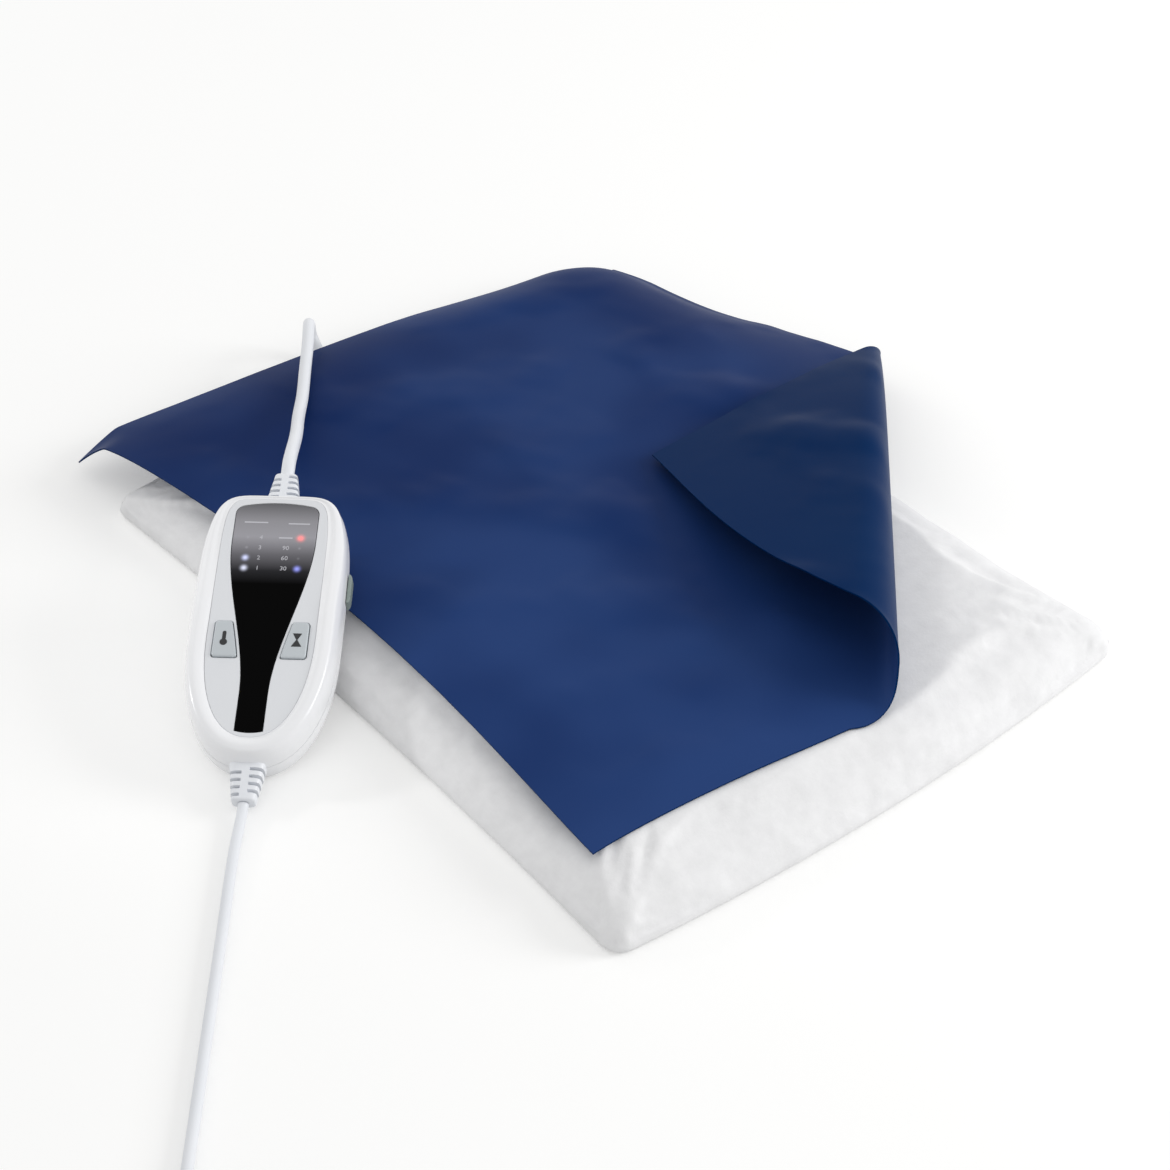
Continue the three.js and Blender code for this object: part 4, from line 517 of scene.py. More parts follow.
def round_cord(path, radius, reference, sides=20):
    """A circle carried along a path: at each point it stands square to the path, turned from a fixed direction. The
    pattern runs once round it and in metres along it."""
    ahead = unit(np.gradient(path, axis=0))
    side = unit(np.cross(ahead, np.asarray(reference, float)))
    lift = np.cross(side, ahead)
    turn = circle(sides)[None, :, None]
    rings = path[:, None] + radius * (np.cos(turn) * side[:, None] + np.sin(turn) * lift[:, None])
    run = run_along(path)
    uv = np.stack(np.broadcast_arrays(turn[..., 0] / (2 * np.pi), run[:, None] * MM), -1)
    points, faces = lofted(rings)
    return points, faces, uv, run[-1] * MM


def pad_cord_path():
    """From the upper strain relief over the cover, round its edge and into the pad's end."""
    start = hand([0, HAND_LENGTH + BOOT_LENGTH + GAP, HAND_PARTING])
    end = np.array([GLAND_END - GAP, 0, GLAND_Z])
    stops = [start, start + 8 * HAND_ALONG, [-134, -82, 50], [-163, -62, 38], [-184, -46, 32.5], [-204, -31, 31.5],
             [-225, -15, 31.5], [-242, -3, 29.5], [-254, 5, 21.5], [-256, 7, 12.5], [-248, 6, 6], [-236, 3, 5.2],
             end + [-8, 0, -0.5], end + [-4, 0, 0], end]
    return laid(stops, 1.6)


MAINS_FLOOR = MAINS_CORD / 2 + 0.1
COIL_LOW = MAINS_FLOOR + COIL_LIFT
COIL_LEFT = np.array([-COIL_IN[1], COIL_IN[0]])
COIL_BEGIN = math.atan2(-COIL_LEFT[1], -COIL_LEFT[0])


def coil_path():
    """Turns that spiral in on the lower layer and out again on the upper one: the radius falls and grows by one pitch
    a turn, and the height rises by one pitch in the half turn where the spiral reverses. Then the tail to the
    plug."""
    turn = np.linspace(0, COIL_TURNS, round(COIL_TURNS * 24) + 1)
    radius = COIL_OUTER - COIL_PITCH * np.minimum(turn, COIL_TURNS - turn)
    height = COIL_LOW + COIL_PITCH * ease(turn, COIL_TURNS / 2 - 0.25, COIL_TURNS / 2 + 0.25)
    angle = COIL_BEGIN + 2 * np.pi * turn
    turns = np.c_[COIL_AT[0] + radius * np.cos(angle), COIL_AT[1] + radius * np.sin(angle), height]
    onward = np.array([-math.sin(angle[-1]), math.cos(angle[-1]), 0])
    outward = np.array([math.cos(angle[-1]), math.sin(angle[-1]), 0])
    share = np.array([0.35, 0.7, 1.0])[:, None]
    tail = turns[-1] + onward * COIL_TAIL * share + outward * 1.2 * share
    tail[:, 2] = turns[-1, 2] + (PLUG_THICK / 2 - turns[-1, 2]) * ease(share[:, 0], 0, 0.85)
    return np.concatenate([turns, tail, tail[-1:] + onward * MAINS_CORD]), onward


def mains_cord_path(coil):
    """From the lower strain relief down to the floor, straight to the coil, through its turns and to the plug."""
    start = hand([0, -BOOT_LENGTH - GAP, HAND_PARTING])
    down = start - 29 * HAND_ALONG
    down[2] = MAINS_FLOOR + 0.1
    ahead = np.array([*COIL_IN, 0])
    end = np.array([*(COIL_AT - COIL_LEFT * COIL_OUTER), COIL_LOW]) - ahead * (MAINS_CORD + GAP)
    straight = end - 12 * ahead
    floor = down + (straight - down) * np.array([0.25, 0.5, 0.75])[:, None]
    floor[:, 2] = MAINS_FLOOR
    return laid([start, start - 4 * HAND_ALONG, down, *floor, straight, end, *coil], 1.8)


COIL, ONWARD = coil_path()
PLUG_AT = COIL[-1] + GAP * ONWARD
PLUG_SIDE = np.array([ONWARD[1], -ONWARD[0], 0])


def beside_plug(local):
    """From the plug's own frame, y along it from the cord's end, to the pad's."""
    local = np.asarray(local, float)
    return PLUG_AT + local[..., :1] * PLUG_SIDE + local[..., 1:2] * ONWARD + local[..., 2:3] * UP


def revolved(profile, sides):
    """A profile of radius and distance carried round the y axis; its ends close to flat discs."""
    turn = circle(sides)
    profile = np.asarray(profile, float)
    ring = np.stack([np.cos(turn), np.zeros(sides), np.sin(turn)], -1)
    return profile[:, :1, None] * ring[None] + np.array([0, 1, 0]) * profile[:, 1:, None]


def grooved(tip, base, length, first, pitch, count, deep, wide):
    """Profile of a tapered sleeve with ring grooves: its radius grows evenly, and each groove is a flat-bottomed
    cut."""
    rows = [[tip - 0.5, 0], [tip - 0.12, 0.15], [tip, 0.5]]
    for at in first + pitch * np.arange(count):
        radius = tip + (base - tip) * at / length
        rows += [[radius, at], [radius - deep, at + 0.25], [radius - deep, at + wide - 0.25],
                 [radius + 0.1, at + wide]]
    return rows


def plug_body():
    """Rounded flat plug: sections across it are superellipses of power 5 whose width follows the moulded grip."""
    back, front = PLUG_BOOT + GAP, PLUG_BOOT + GAP + PLUG_LENGTH
    stops = np.array([[back, 6.2, 5.2], [back + 0.4, 7.4, 6.0], [back + 2, 10.8, 6.6], [back + 5, 13, 6.8],
                      [back + 12, 16.2, 6.8], [back + 18, 17.3, 6.8], [front - 10, 17.5, 6.8],
                      [front - 7, 17.1, 6.8], [front - 3, 14.6, 6.8], [front - 0.8, 12.9, 6.7],
                      [front - 0.15, 12.2, 6.3], [front, 11.4, 5.7]])
    stops = through(stops, 4)
    turn = circle(72)
    x, z = stops[:, 1:2] * bent(np.cos(turn), 0.4), stops[:, 2:3] * bent(np.sin(turn), 0.4)
    return lofted(beside_plug(np.stack([x, np.broadcast_to(stops[:, :1], x.shape), z], -1)))


def plug_pin(side):
    """Round pin with a domed tip; the half next to the body wears a sleeve."""
    front = PLUG_BOOT + GAP + PLUG_LENGTH
    r, end = PIN_RADIUS, front + PIN_LENGTH
    dome = [[r * math.cos(t), end - r + r * math.sin(t)] for t in np.linspace(0, 1.45, 7)]
    bare = front + PIN_SLEEVE
    profile = [[r, front - 5], [r, front - 4.9], [r, bare - 0.1], [r - 0.14, bare], [r - 0.14, bare + 0.1],
               *[[max(radius - 0.14, 0.1), at] for radius, at in dome]]
    rings = beside_plug(revolved(profile, 28) + [side * PIN_SPACING / 2, 0, 0])
    made = piece(f"plug_pin_{'left' if side < 0 else 'right'}", *lofted(rings), SLEEVE, slot="steel",
                 stands_for=[f"plug_pin_{1 if side < 0 else 2}"])
    made.data.materials.append(STEEL)
    along = np.empty(len(made.data.polygons) * 3, np.float32)
    made.data.polygons.foreach_get("center", along)
    reach = (along.reshape(-1, 3) / MM - PLUG_AT) @ ONWARD
    made.data.polygons.foreach_set("material_index", (reach > bare - 0.05).astype(np.int32))
    return made


def coil_tie():
    """Strap round the coil's turns: a flat section with rounded edges carried round a rectangle with round corners,
    and its overlapping end."""
    inner = COIL_OUTER - COIL_PITCH * COIL_TURNS / 2
    reach = MAINS_CORD / 2 + TIE_ROOM
    half = np.array([(COIL_OUTER - inner) / 2 + reach, COIL_PITCH / 2 + reach])
    turn = circle(96)
    out = np.c_[np.cos(turn), np.sin(turn)]
    corner = np.sign(out) * (half - TIE_CORNER)
    section = np.array([[0.05, -3.9], [0, -3.6], [0, 3.6], [0.05, 3.9], [0.5, 4], [0.95, 3.9], [1, 3.6], [1, -3.6],
                        [0.95, -3.9], [0.5, -4]])
    line = corner[:, None] + out[:, None] * (TIE_CORNER + section[None, :, :1] * TIE_THICK)
    x, z = line[..., :1], line[..., 1:]
    local = np.concatenate([x, np.broadcast_to(section[None, :, 1:], x.shape), z], -1)
    local += [(COIL_OUTER + inner) / 2, 0, COIL_LOW + COIL_PITCH / 2]
    angle = COIL_BEGIN + TIE_ANGLE
    spin = np.array([[math.cos(angle), math.sin(angle), 0], [-math.sin(angle), math.cos(angle), 0], [0, 0, 1]])
    return lofted(local @ spin + [*COIL_AT, 0], closed=True)


def boot(end):
    """Slotted strain relief: sections are rounded rectangles (superellipses of power 4) that taper to the tip, and on
    both sides of a solid spine staggered slots are cut in to the spine's width."""
    pitch = (BOOT_LENGTH - 3) / BOOT_SLOTS
    first = {side: 2.4 + (np.arange(BOOT_SLOTS) + 0.25 + side * 0.25) * pitch - BOOT_SLOT / 2 for side in (-1, 1)}
    edges = np.concatenate([np.concatenate([first[s], first[s] + BOOT_SLOT]) for s in (-1, 1)])
    y = np.unique(np.concatenate([np.linspace(-BOOT_INSIDE, BOOT_LENGTH, 60), edges - 0.03, edges + 0.03,
                                  BOOT_LENGTH - np.array([1.2, 0.9, 0.6, 0.35, 0.15, 0.04])]))
    taper = np.clip((y - 0.5) / (BOOT_LENGTH - 1.7), 0, 1)[:, None]
    half = (BOOT_BASE + (BOOT_TIP - BOOT_BASE) * taper) / 2
    tip = np.clip((y - BOOT_LENGTH + 1.2) / 1.2, 0, 1)[:, None]
    half = half - np.array([1.0, 0.8]) * (1 - np.sqrt(1 - tip ** 2))
    turn = circle(88)
    x, z = half[:, :1] * bent(np.cos(turn), 0.5), half[:, 1:] * bent(np.sin(turn), 0.5)
    for side in (-1, 1):
        slot = ((y[:, None] > first[side]) & (y[:, None] < first[side] + BOOT_SLOT)).any(1)[:, None]
        x = np.where(slot & (side * x > BOOT_SPINE / 2), side * BOOT_SPINE / 2, x)
    y = np.broadcast_to(y[:, None], x.shape)
    if end == "lower":
        return lofted(hand(np.stack([-x, -y, z + HAND_PARTING], -1)))
    return lofted(hand(np.stack([x, y + HAND_LENGTH, z + HAND_PARTING], -1)))


def make_cords():
    """The two cords, what they leave by and the plug."""
    upper, lower = (piece(f"{end}_sleeve", *boot(end), SHEATH, sharp=30, slot="cord_sheath",
                          stands_for=[f"{end}_strain_relief"]) for end in ("upper", "lower"))
    profile = grooved(GLAND_TIP, GLAND_BASE, 18, 3, 4, 3, 1.0, 2.0) + [[GLAND_BASE, 18], [GLAND_BASE, 37]]
    rings = revolved(profile, 48)
    rings = np.stack([rings[..., 1] + GLAND_END, rings[..., 0], rings[..., 2] + GLAND_Z], -1)
    gland = piece("pad_sleeve", *lofted(rings), SHEATH, slot="cord_sheath", stands_for=["pad_cord_gland"])

    path = pad_cord_path()
    points, faces, uv, long = round_cord(path, PAD_CORD / 2, (0.5, 0.85, 0))
    cord = piece("pad_lead", points, faces, SHEATH, uv, slot="cord_sheath", stands_for=["pad_cord"])

    profile = grooved(3.5, 5.0, PLUG_BOOT, 4, 4, 4, 0.8, 1.8) + [[5, PLUG_BOOT - 0.1], [5, PLUG_BOOT]]
    relief = piece("plug_sleeve", *lofted(beside_plug(revolved(profile, 44))), SHEATH, slot="cord_sheath",
                   stands_for=["plug_strain_relief"])
    body = piece("plug_grip", *plug_body(), SHEATH, slot="cord_sheath", stands_for=["plug_body"])
    pins = [plug_pin(side) for side in (-1, 1)]
    tie = piece("coil_strap", *coil_tie(), STRAP, slot="tie", stands_for=["coil_tie"])
    path = mains_cord_path(COIL)
    points, faces, uv, long = round_cord(path, MAINS_CORD / 2, UP, 14)
    cord = piece("mains_lead", points, faces, SHEATH, uv, slot="cord_sheath",
                 stands_for=["mains_cord", "mains_cord_coil"])


make_cords()


# Pad

def inside_pad(x, y, inset=0.0):
    """How far a plan point lies inside the pad's outline, a rectangle with round corners drawn in by an inset."""
    r = max(PAD_CORNER - inset, 3)
    qx, qy = np.abs(x) - (PAD_X - inset - r), np.abs(y) - (PAD_Y - inset - r)
    return r - np.hypot(np.maximum(qx, 0), np.maximum(qy, 0)) - np.minimum(np.maximum(qx, qy), 0)


def crown(x, y):
    """How much higher the pad's middle stands: a parabola along it times one across it."""
    return PAD_CROWN * np.maximum(0, 1 - (x / PAD_X) ** 2) * np.maximum(0, 1 - (y / PAD_Y) ** 2)


def pad_plan(sx, sy, inset):
    """Plan point of the ring that a point of the unrolled pad belongs to: rings are rectangles drawn in by an inset,
    with corners that grow rounder towards the top, and a point keeps its share of its side. One side swells and one
    is drawn in, by parabolas."""
    ax, ay = PAD_FLAT_X - np.abs(sx), PAD_FLAT_Y - np.abs(sy)
    ring, on_x = np.minimum(ax, ay), ax <= ay
    share = np.where(on_x, sy / np.maximum(PAD_FLAT_Y - ring, 1e-6), sx / np.maximum(PAD_FLAT_X - ring, 1e-6))
    half = np.where(on_x, PAD_Y, PAD_X) - inset
    reach = np.where(on_x, PAD_X, PAD_Y) - inset
    r = PAD_CORNER + (PAD_CORNER_TOP - PAD_CORNER) * ease(inset, 0, PAD_EDGE_ROUND)
    r = np.minimum(r, np.maximum(PAD_Y - inset, 0.5))
    along = np.abs(share) * half
    turn = np.clip((along - half + r) / r, 0, 1) * np.pi / 4
    along = np.sign(share) * np.where(turn > 0, half - r + r * np.sin(turn), along)
    across = np.where(on_x, np.sign(sx), np.sign(sy)) * (reach - r + r * np.cos(turn))
    x, y = np.where(on_x, across, along), np.where(on_x, along, across)
    u, v = x / PAD_X, y / PAD_Y
    x = x + PAD_SIDE_SWELL * np.maximum(u, 0) ** 2 * np.maximum(0, 1 - v * v)
    y = y + PAD_FRONT_DRAWN * np.maximum(-v, 0) ** 2 * np.maximum(0, 1 - u * u)
    return x, y


def pad_skin(finer):
    """Closed skin of the pad: an unrolled grid laid over the top and down the quarter-round edge to the seam, then
    rings round the foot and a flat underside. Also gives the grid's size and which points are held when it is puffed
    up."""
    nx, ny = round(2 * PAD_FLAT_X / PAD_MESH) * finer + 1, round(2 * PAD_FLAT_Y / PAD_MESH) * finer + 1
    sx, sy = np.meshgrid(np.linspace(-PAD_FLAT_X, PAD_FLAT_X, nx), np.linspace(-PAD_FLAT_Y, PAD_FLAT_Y, ny),
                         indexing="ij")
    ring = np.minimum(PAD_FLAT_X - np.abs(sx), PAD_FLAT_Y - np.abs(sy))
    turn = np.clip(ring / PAD_EDGE_ARC, 0, 1) * np.pi / 2
    inset = PAD_EDGE_ROUND * (1 - np.cos(turn)) + np.maximum(ring - PAD_EDGE_ARC, 0)
    x, y = pad_plan(sx, sy, inset)
    z = PAD_SEAM + (PAD_RIM - PAD_SEAM) * np.sin(turn) + crown(x, y) * ease(turn, 0.9, 1.571)
    top = np.stack([x, y, z], -1).reshape(-1, 3)
    round_edge = border(nx, ny)
    ex, ey = sx.ravel()[round_edge], sy.ravel()[round_edge]
    rings = []
    for share in (0.35, 0.7, 1.0):
        t = share * np.pi / 2
        rx, ry = pad_plan(ex, ey, PAD_FOOT_ROUND * (1 - math.cos(t)))
        rings.append(np.stack([rx, ry, np.full(len(rx), PAD_SEAM * (1 - math.sin(t)))], -1))
    points = np.concatenate([top, *rings])
    count = len(round_edge)
    rows = np.stack([round_edge, *[nx * ny + k * count + np.arange(count) for k in range(3)]])
    foot = np.stack([rows[:-1], np.roll(rows, -1, 1)[:-1], np.roll(rows, -1, 1)[1:], rows[1:]], -1).reshape(-1, 4)
    held = np.concatenate([(ring.ravel() < 0.1), np.ones(3 * count, bool)])
    return points, [squares(nx, ny), foot, rows[-1][None]], held, (nx, ny)


def puffed(points, faces, held):
    """Fills the skin as a cloth bag under pressure, step by step; no point moves further than is allowed."""
    bag = shown("pad_start", skin("pad_start", points, faces))
    bag.vertex_groups.new(name="held").add(np.flatnonzero(held).tolist(), 1.0, "REPLACE")
    cloth = bag.modifiers.new("fill", "CLOTH")
    cloth.settings.use_pressure = True
    cloth.settings.uniform_pressure_force = PUFF_PRESSURE
    cloth.settings.vertex_group_mass = "held"
    cloth.settings.effector_weights.gravity = 0.0
    cloth.settings.quality = 4
    cloth.point_cache.frame_start, cloth.point_cache.frame_end = 1, PUFF_STEPS
    for step in range(1, PUFF_STEPS + 1):
        scene.frame_set(step)
    full = bpy.data.meshes.new_from_object(bag.evaluated_get(bpy.context.evaluated_depsgraph_get()))
    moved = points_of(full) - points
    scene.frame_set(1)
    bpy.data.objects.remove(bag)
    far = np.linalg.norm(moved, axis=1, keepdims=True)
    return points + moved * np.minimum(1, PUFF_MOST / np.maximum(far, 1e-9))


def under_cover(x, y):
    """How far a plan point lies inside the cover: the least of its distances to the cover's straight outlines."""
    corners = np.array([COVER_LEFT, COVER_FRONT, ROLL_NEAR, ROLL_FAR, COVER_BACK])
    inside = np.full(np.shape(x), np.inf)
    for a, b in zip(corners, np.roll(corners, -1, 0)):
        across = (b[0] - a[0]) * (y - a[1]) - (b[1] - a[1]) * (x - a[0])
        inside = np.minimum(inside, across / np.linalg.norm(b - a))
    return inside


def hand_half(y):
    """Half width of the housing at a height along it: a superellipse above its widest line and another below it."""
    upper = y > HAND_WIDEST
    t = np.abs(y - HAND_WIDEST) / np.where(upper, HAND_LENGTH - HAND_WIDEST, HAND_WIDEST)
    power = np.where(upper, HAND_TOP_POWER, HAND_LOW_POWER)
    return HAND_WIDTH / 2 * np.maximum(0, 1 - np.clip(t, 0, 1) ** power) ** (1 / power)


def make_pad():
    """Fleece pad: puffed up as a bag, made finer, then lumps, clumps and tufts of pile raised on it; it stays below
    the cover, clear of the controller and on the floor."""
    points, faces, held, (nx, ny) = pad_skin(1)
    start = points.copy()
    start[~held, 2] -= PUFF_ROOM * ease(start[~held, 2], 5, 24)
    start[~held, :2] *= 1 - PUFF_ROOM / PAD_X
    full = puffed(start, faces, held)
    moved = (full - points)[:nx * ny].reshape(nx, ny, 3)
    moved = through(through(moved, 2).swapaxes(0, 1), 2).swapaxes(0, 1).reshape(-1, 3)
    at, faces = pad_skin(2)[:2]
    at[:len(moved)] += moved
    mesh = skin("pad_fleece", at, faces)
    out = np.empty(len(at) * 3, np.float32)
    mesh.vertices.foreach_get("normal", out)
    out = out.reshape(-1, 3)
    pile = 0.5 * ripple(at, 60, 30, 1) + 0.14 * ripple(at, 22, 40, 2) + 0.06 * ripple(at, 9, 50, 3) \
        + 0.04 * ripple(at, 5, 60, 4)
    at = at + out * (pile * ease(at[:, 2], 0.5, 7))[:, None]
    # the seam near the floor pinches the fleece in
    pinch = 0.8 * np.exp(-((at[:, 2] - PAD_SEAM) / 1.4) ** 2)
    at[:, :2] -= out[:, :2] * pinch[:, None]
    # it sinks along the cover's front edge, which stands clear of it and shades it
    along = np.clip((at[:, 0] - COVER_LEFT[0]) / (COVER_FRONT[0] - COVER_LEFT[0]), 0, 1)
    front = COVER_LEFT[1] + (COVER_FRONT[1] - COVER_LEFT[1]) * along
    within = at[:, 1] - (front + COVER_FRONT_BOW * np.sin(np.pi * along) ** 1.1)
    near = ease(within, -30, 2) * (1 - ease(within, 5, 25)) * ease(along, 1, 0.9)
    at[:, 2] -= PAD_SINK * near * ease(at[:, 2], 5, 20)
    # it stays below the cover, and stands a little higher away from it
    beside = ease(-under_cover(at[:, 0], at[:, 1]), 6, 40)
    ceiling = PAD_RIM + crown(at[:, 0], at[:, 1]) + 0.1 + 2.1 * beside
    at[:, 2] = ceiling - rounded_up(ceiling - at[:, 2], 0.15)
    # where the controller lies it is pressed down, clear of the housing's rounded sole
    x, y, z = in_hand(at).T
    inset = hand_half(y) + PRESS_ROOM - np.abs(x)
    sole = np.interp(inset, PRESS_IN, PRESS_UP) - PRESS_ROOM
    press = (inset > 0) & (y > -1) & (y < HAND_LENGTH + 1) & (z > sole) & (z < HAND_FACE + 2)
    at -= HAND_OUT * np.where(press, z - sole, 0)[:, None]
    at[:, 2] = np.maximum(at[:, 2], 0.02)
    mesh.vertices.foreach_set("co", (at * MM).astype(np.float32).ravel())
    mesh.update()
    made = placed("pad_fleece", mesh, FLEECE, sharp=0, slot="fleece",
                  stands_for=["pad_upper_layer", "pad_lower_layer"])


# Moisture cover

def roll_cone():
    """The cone that the folded corner goes round: its axis line lies under the two given ends of the roll, its apex
    is where the radius runs out, and the cut's far corner is the flap's tip unrolled."""
    along = unit(ROLL_FAR - ROLL_NEAR)
    out = np.array([along[1], -along[0]])
    near, far = ROLL_NEAR - out * ROLL_NEAR_RADIUS, ROLL_FAR - out * ROLL_FAR_RADIUS
    span = np.linalg.norm(near - far)
    sine = (ROLL_NEAR_RADIUS - ROLL_FAR_RADIUS) / span
    forward = (near - far) / span
    apex = far - forward * ROLL_FAR_RADIUS / sine
    side = np.array([-forward[1], forward[0]])
    side = side if side @ out > 0 else -side
    tip = FLAP_TIP - apex
    turned = math.atan2(-(tip @ side), tip @ forward) + ROLL_TURN * sine
    corner = apex + np.linalg.norm(tip) * (forward * math.cos(turned) + side * math.sin(turned))
    return sine, forward, side, apex, corner


CONE_SINE, CONE_FORWARD, CONE_SIDE, CONE_APEX, COVER_CORNER = roll_cone()


def cut_point(p, q):
    """Flat point of the cut: p along the front edge from the left corner, q towards the back. A four-sided patch
    whose front edge is drawn in by a sine hump and whose right edge swells by another, nearer the fold."""
    p, q = p[..., None], q[..., None]
    front = COVER_LEFT + (COVER_FRONT - COVER_LEFT) * p
    back = COVER_BACK + (COVER_CORNER - COVER_BACK) * p
    drawn = COVER_FRONT_BOW * np.sin(np.pi * p).clip(0) ** 1.1 * np.maximum(0, 1 - q / 0.45) ** 2
    swell = COVER_RIGHT_BOW * p * p * np.sin(np.pi * q ** 1.4).clip(0) ** 1.1
    return front + (back - front) * q + np.concatenate([swell, drawn], -1)


def fall_radius(x, y):
    """Radius that the overhang falls over: set for each side of the pad and blended by logistic curves."""
    step = lambda t: 1 / (1 + np.exp(-np.clip(t, -60, 60)))
    left = FALL_LEFT + (FALL_LEFT_BACK - FALL_LEFT) * step((y - 60) / 30)
    back = FALL_BACK + (FALL_BESIDE_ROLL - FALL_BACK) * step((x + 75) / 30)
    past = np.abs(x) - PAD_X - (y - PAD_Y)
    return np.where(y <= 0, left, back + (left - back) * step(past / 8))


def draped(x, y):
    """Where a flat point comes to lie: on the pad, or past its edge along a circle and then straight down a slope,
    which is rounded off where it meets the floor."""
    radius = fall_radius(x, y)
    past = np.maximum(-inside_pad(x, y, FALL_INSET), 0)
    away = unit(np.stack([inside_pad(x - 0.5, y, FALL_INSET) - inside_pad(x + 0.5, y, FALL_INSET),
                          inside_pad(x, y - 0.5, FALL_INSET) - inside_pad(x, y + 0.5, FALL_INSET)], -1))
    turn = np.minimum(past / radius, FALL_STEEPEST)
    rest = np.maximum(past - FALL_STEEPEST * radius, 0)
    plan = radius * np.sin(turn) + rest * math.cos(FALL_STEEPEST)
    drop = radius * (1 - np.cos(turn)) + rest * math.sin(FALL_STEEPEST)
    floor = COVER_THICK / 2 + 2 * GAP
    z = floor + rounded_up(PAD_RIM + crown(x, y) + COVER_THICK / 2 + 2 * GAP - drop - floor, 4.0)
    return np.stack([x + away[..., 0] * (plan - past), y + away[..., 1] * (plan - past), z], -1)


def cover_point(flat):
    """Middle surface of the cover at a flat point. Short of the roll it is draped, with its left corner drooping;
    past it the cloth goes round the cone at its own distance from the apex, its lower bend squarer (a superellipse)
    towards the wide end, then runs straight on and settles just over the layer below."""
    away = flat - CONE_APEX
    reach = np.linalg.norm(away, axis=-1)[..., None]
    angle = np.arctan2(away @ CONE_SIDE, away @ CONE_FORWARD)[..., None]
    curl = np.maximum(0, 1 - np.linalg.norm(flat - COVER_LEFT, axis=-1) / CURL_REACH)[..., None] ** 1.2
    lying = draped(flat[..., 0], flat[..., 1]) + curl * np.array([0, -4, -CURL_DROP])
    ahead, side, apex = (np.array([*v, 0]) for v in (CONE_FORWARD, CONE_SIDE, CONE_APEX))
    cosine = math.sqrt(1 - CONE_SINE ** 2)
    axis, up = ahead * cosine + UP * CONE_SINE, UP * cosine - ahead * CONE_SINE
    turn = np.clip(angle / CONE_SINE, 0, ROLL_TURN)
    rest = np.maximum(angle - ROLL_TURN * CONE_SINE, 0)
    wide = ease(reach * CONE_SINE, ROLL_FAR_RADIUS + 2, ROLL_NEAR_RADIUS)
    power = np.where(turn < np.pi / 2, 2 / (2 + ROLL_PINCH * wide), 1)
    fall, swing = bent(np.cos(turn), power), bent(np.sin(turn), power)
    ray = axis * cosine - up * CONE_SINE * fall + side * CONE_SINE * swing
    onward = up * np.sin(turn) + side * np.cos(turn)
    at = (ray * np.cos(rest) + onward * np.sin(rest)) * reach + apex
    root = apex + ((at - apex) @ ahead)[..., None] * ahead
    fallen = draped(root[..., 0], root[..., 1])
    stay = np.clip(1 - rest * reach / 110, 0, 1)
    at = at + (fallen - root) * np.concatenate([stay, stay, np.ones_like(stay)], -1)
    least = draped(at[..., 0], at[..., 1])[..., 2:] + FLAP_LIFT
    settled = np.concatenate([at[..., :2], least + rounded_up(at[..., 2:] - least, 1.2)], -1)
    return np.where(angle <= 0, lying, np.where(rest > 0, settled, at))


def facing(at):
    """Unit vectors square to a grid of points."""
    return unit(np.cross(np.gradient(at, axis=0), np.gradient(at, axis=1)))


def make_cover():
    """Cloth over a fine grid of its cut: the middle surface, eased by averaging neighbours, raised by slack that is
    the same for layers that lie on each other (uneven waves, cut off softly below), and two faces joined by a rim."""
    rows, cols = 214, 188
    p, q = np.meshgrid(np.linspace(0, 1, rows), np.linspace(0, 1, cols), indexing="ij")
    flat = cut_point(p, q)
    at = cover_point(flat)
    for _ in range(8):
        near = (at[:-2, 1:-1] + at[2:, 1:-1] + at[1:-1, :-2] + at[1:-1, 2:]) / 4
        at[1:-1, 1:-1] = (at[1:-1, 1:-1] + near) / 2
    normal = facing(at)
    plan = at[..., :2]
    slack = 0.9 * ripple(plan @ np.array([[0.5, 0.9], [0.9, -0.5]]) * [0.55, 1], 70, 12, 11) \
        + 0.35 * ripple(plan, 42, 24, 12) + 0.1 * ripple(plan, 20, 30, 13)
    # edges that lie free on the pad stay flatter
    free = np.minimum(np.minimum(p, q), 1 - p + 1.5 * np.maximum(q - 0.35, 0))
    height = rounded_up(slack, 0.3) * (0.2 + 0.8 * ease(free, 0, 0.15)) * ease(np.abs(normal[..., 2]), 0.3, 0.8)
    at = at + UP * height[..., None]
    normal = facing(at)
    layers = np.concatenate([(at + normal * half).reshape(-1, 3) for half in (COVER_THICK / 2, -COVER_THICK / 2)])
    faces = back_to_back(rows, cols)
    flat = flat.reshape(-1, 2)
    made = piece("moisture_cover", layers, faces, COVER, np.concatenate([flat, flat]) * MM, sharp=50,
                 slot="cover_cloth", stands_for=["cover_sheet"])
    made.data.materials.append(COVER_REVERSE)
    # the lower layer takes the reverse, and so does the cut edge, where its darker colour is painted shade along the
    # cloth's edge
    side = (np.arange(len(made.data.polygons)) >= len(faces[0])).astype(np.int32)
    made.data.polygons.foreach_set("material_index", side)


make_pad()
make_cover()


# Controller

def hand_outline(side, low, high, squareness=HAND_TOP_POWER):
    """Housing outline drawn in at its sides and ends: a superellipse above its widest line, another below it, in four
    quarters of evenly spaced points."""
    half, up, down = HAND_WIDTH / 2 - side, HAND_LENGTH - HAND_WIDEST - high, HAND_WIDEST - low
    quarters = []
    for k in range(4):
        turn = (k + np.linspace(0, 1, 600)) * np.pi / 2
        power = 2 / (squareness if k < 2 else HAND_LOW_POWER)
        x = half * bent(np.cos(turn), power)
        y = HAND_WIDEST + (up if k < 2 else down) * bent(np.sin(turn), power)
        quarters.append(evenly(np.c_[x, y], HAND_POINTS // 4 + 1)[:-1])
    return np.concatenate(quarters)


def at_height(outline, height):
    """A flat outline's points at a height."""
    return np.c_[outline, np.full(len(outline), height)]


def even_ring(inset, height):
    """The housing's outline drawn in evenly, at a height."""
    return at_height(hand_outline(inset, inset, inset), height)


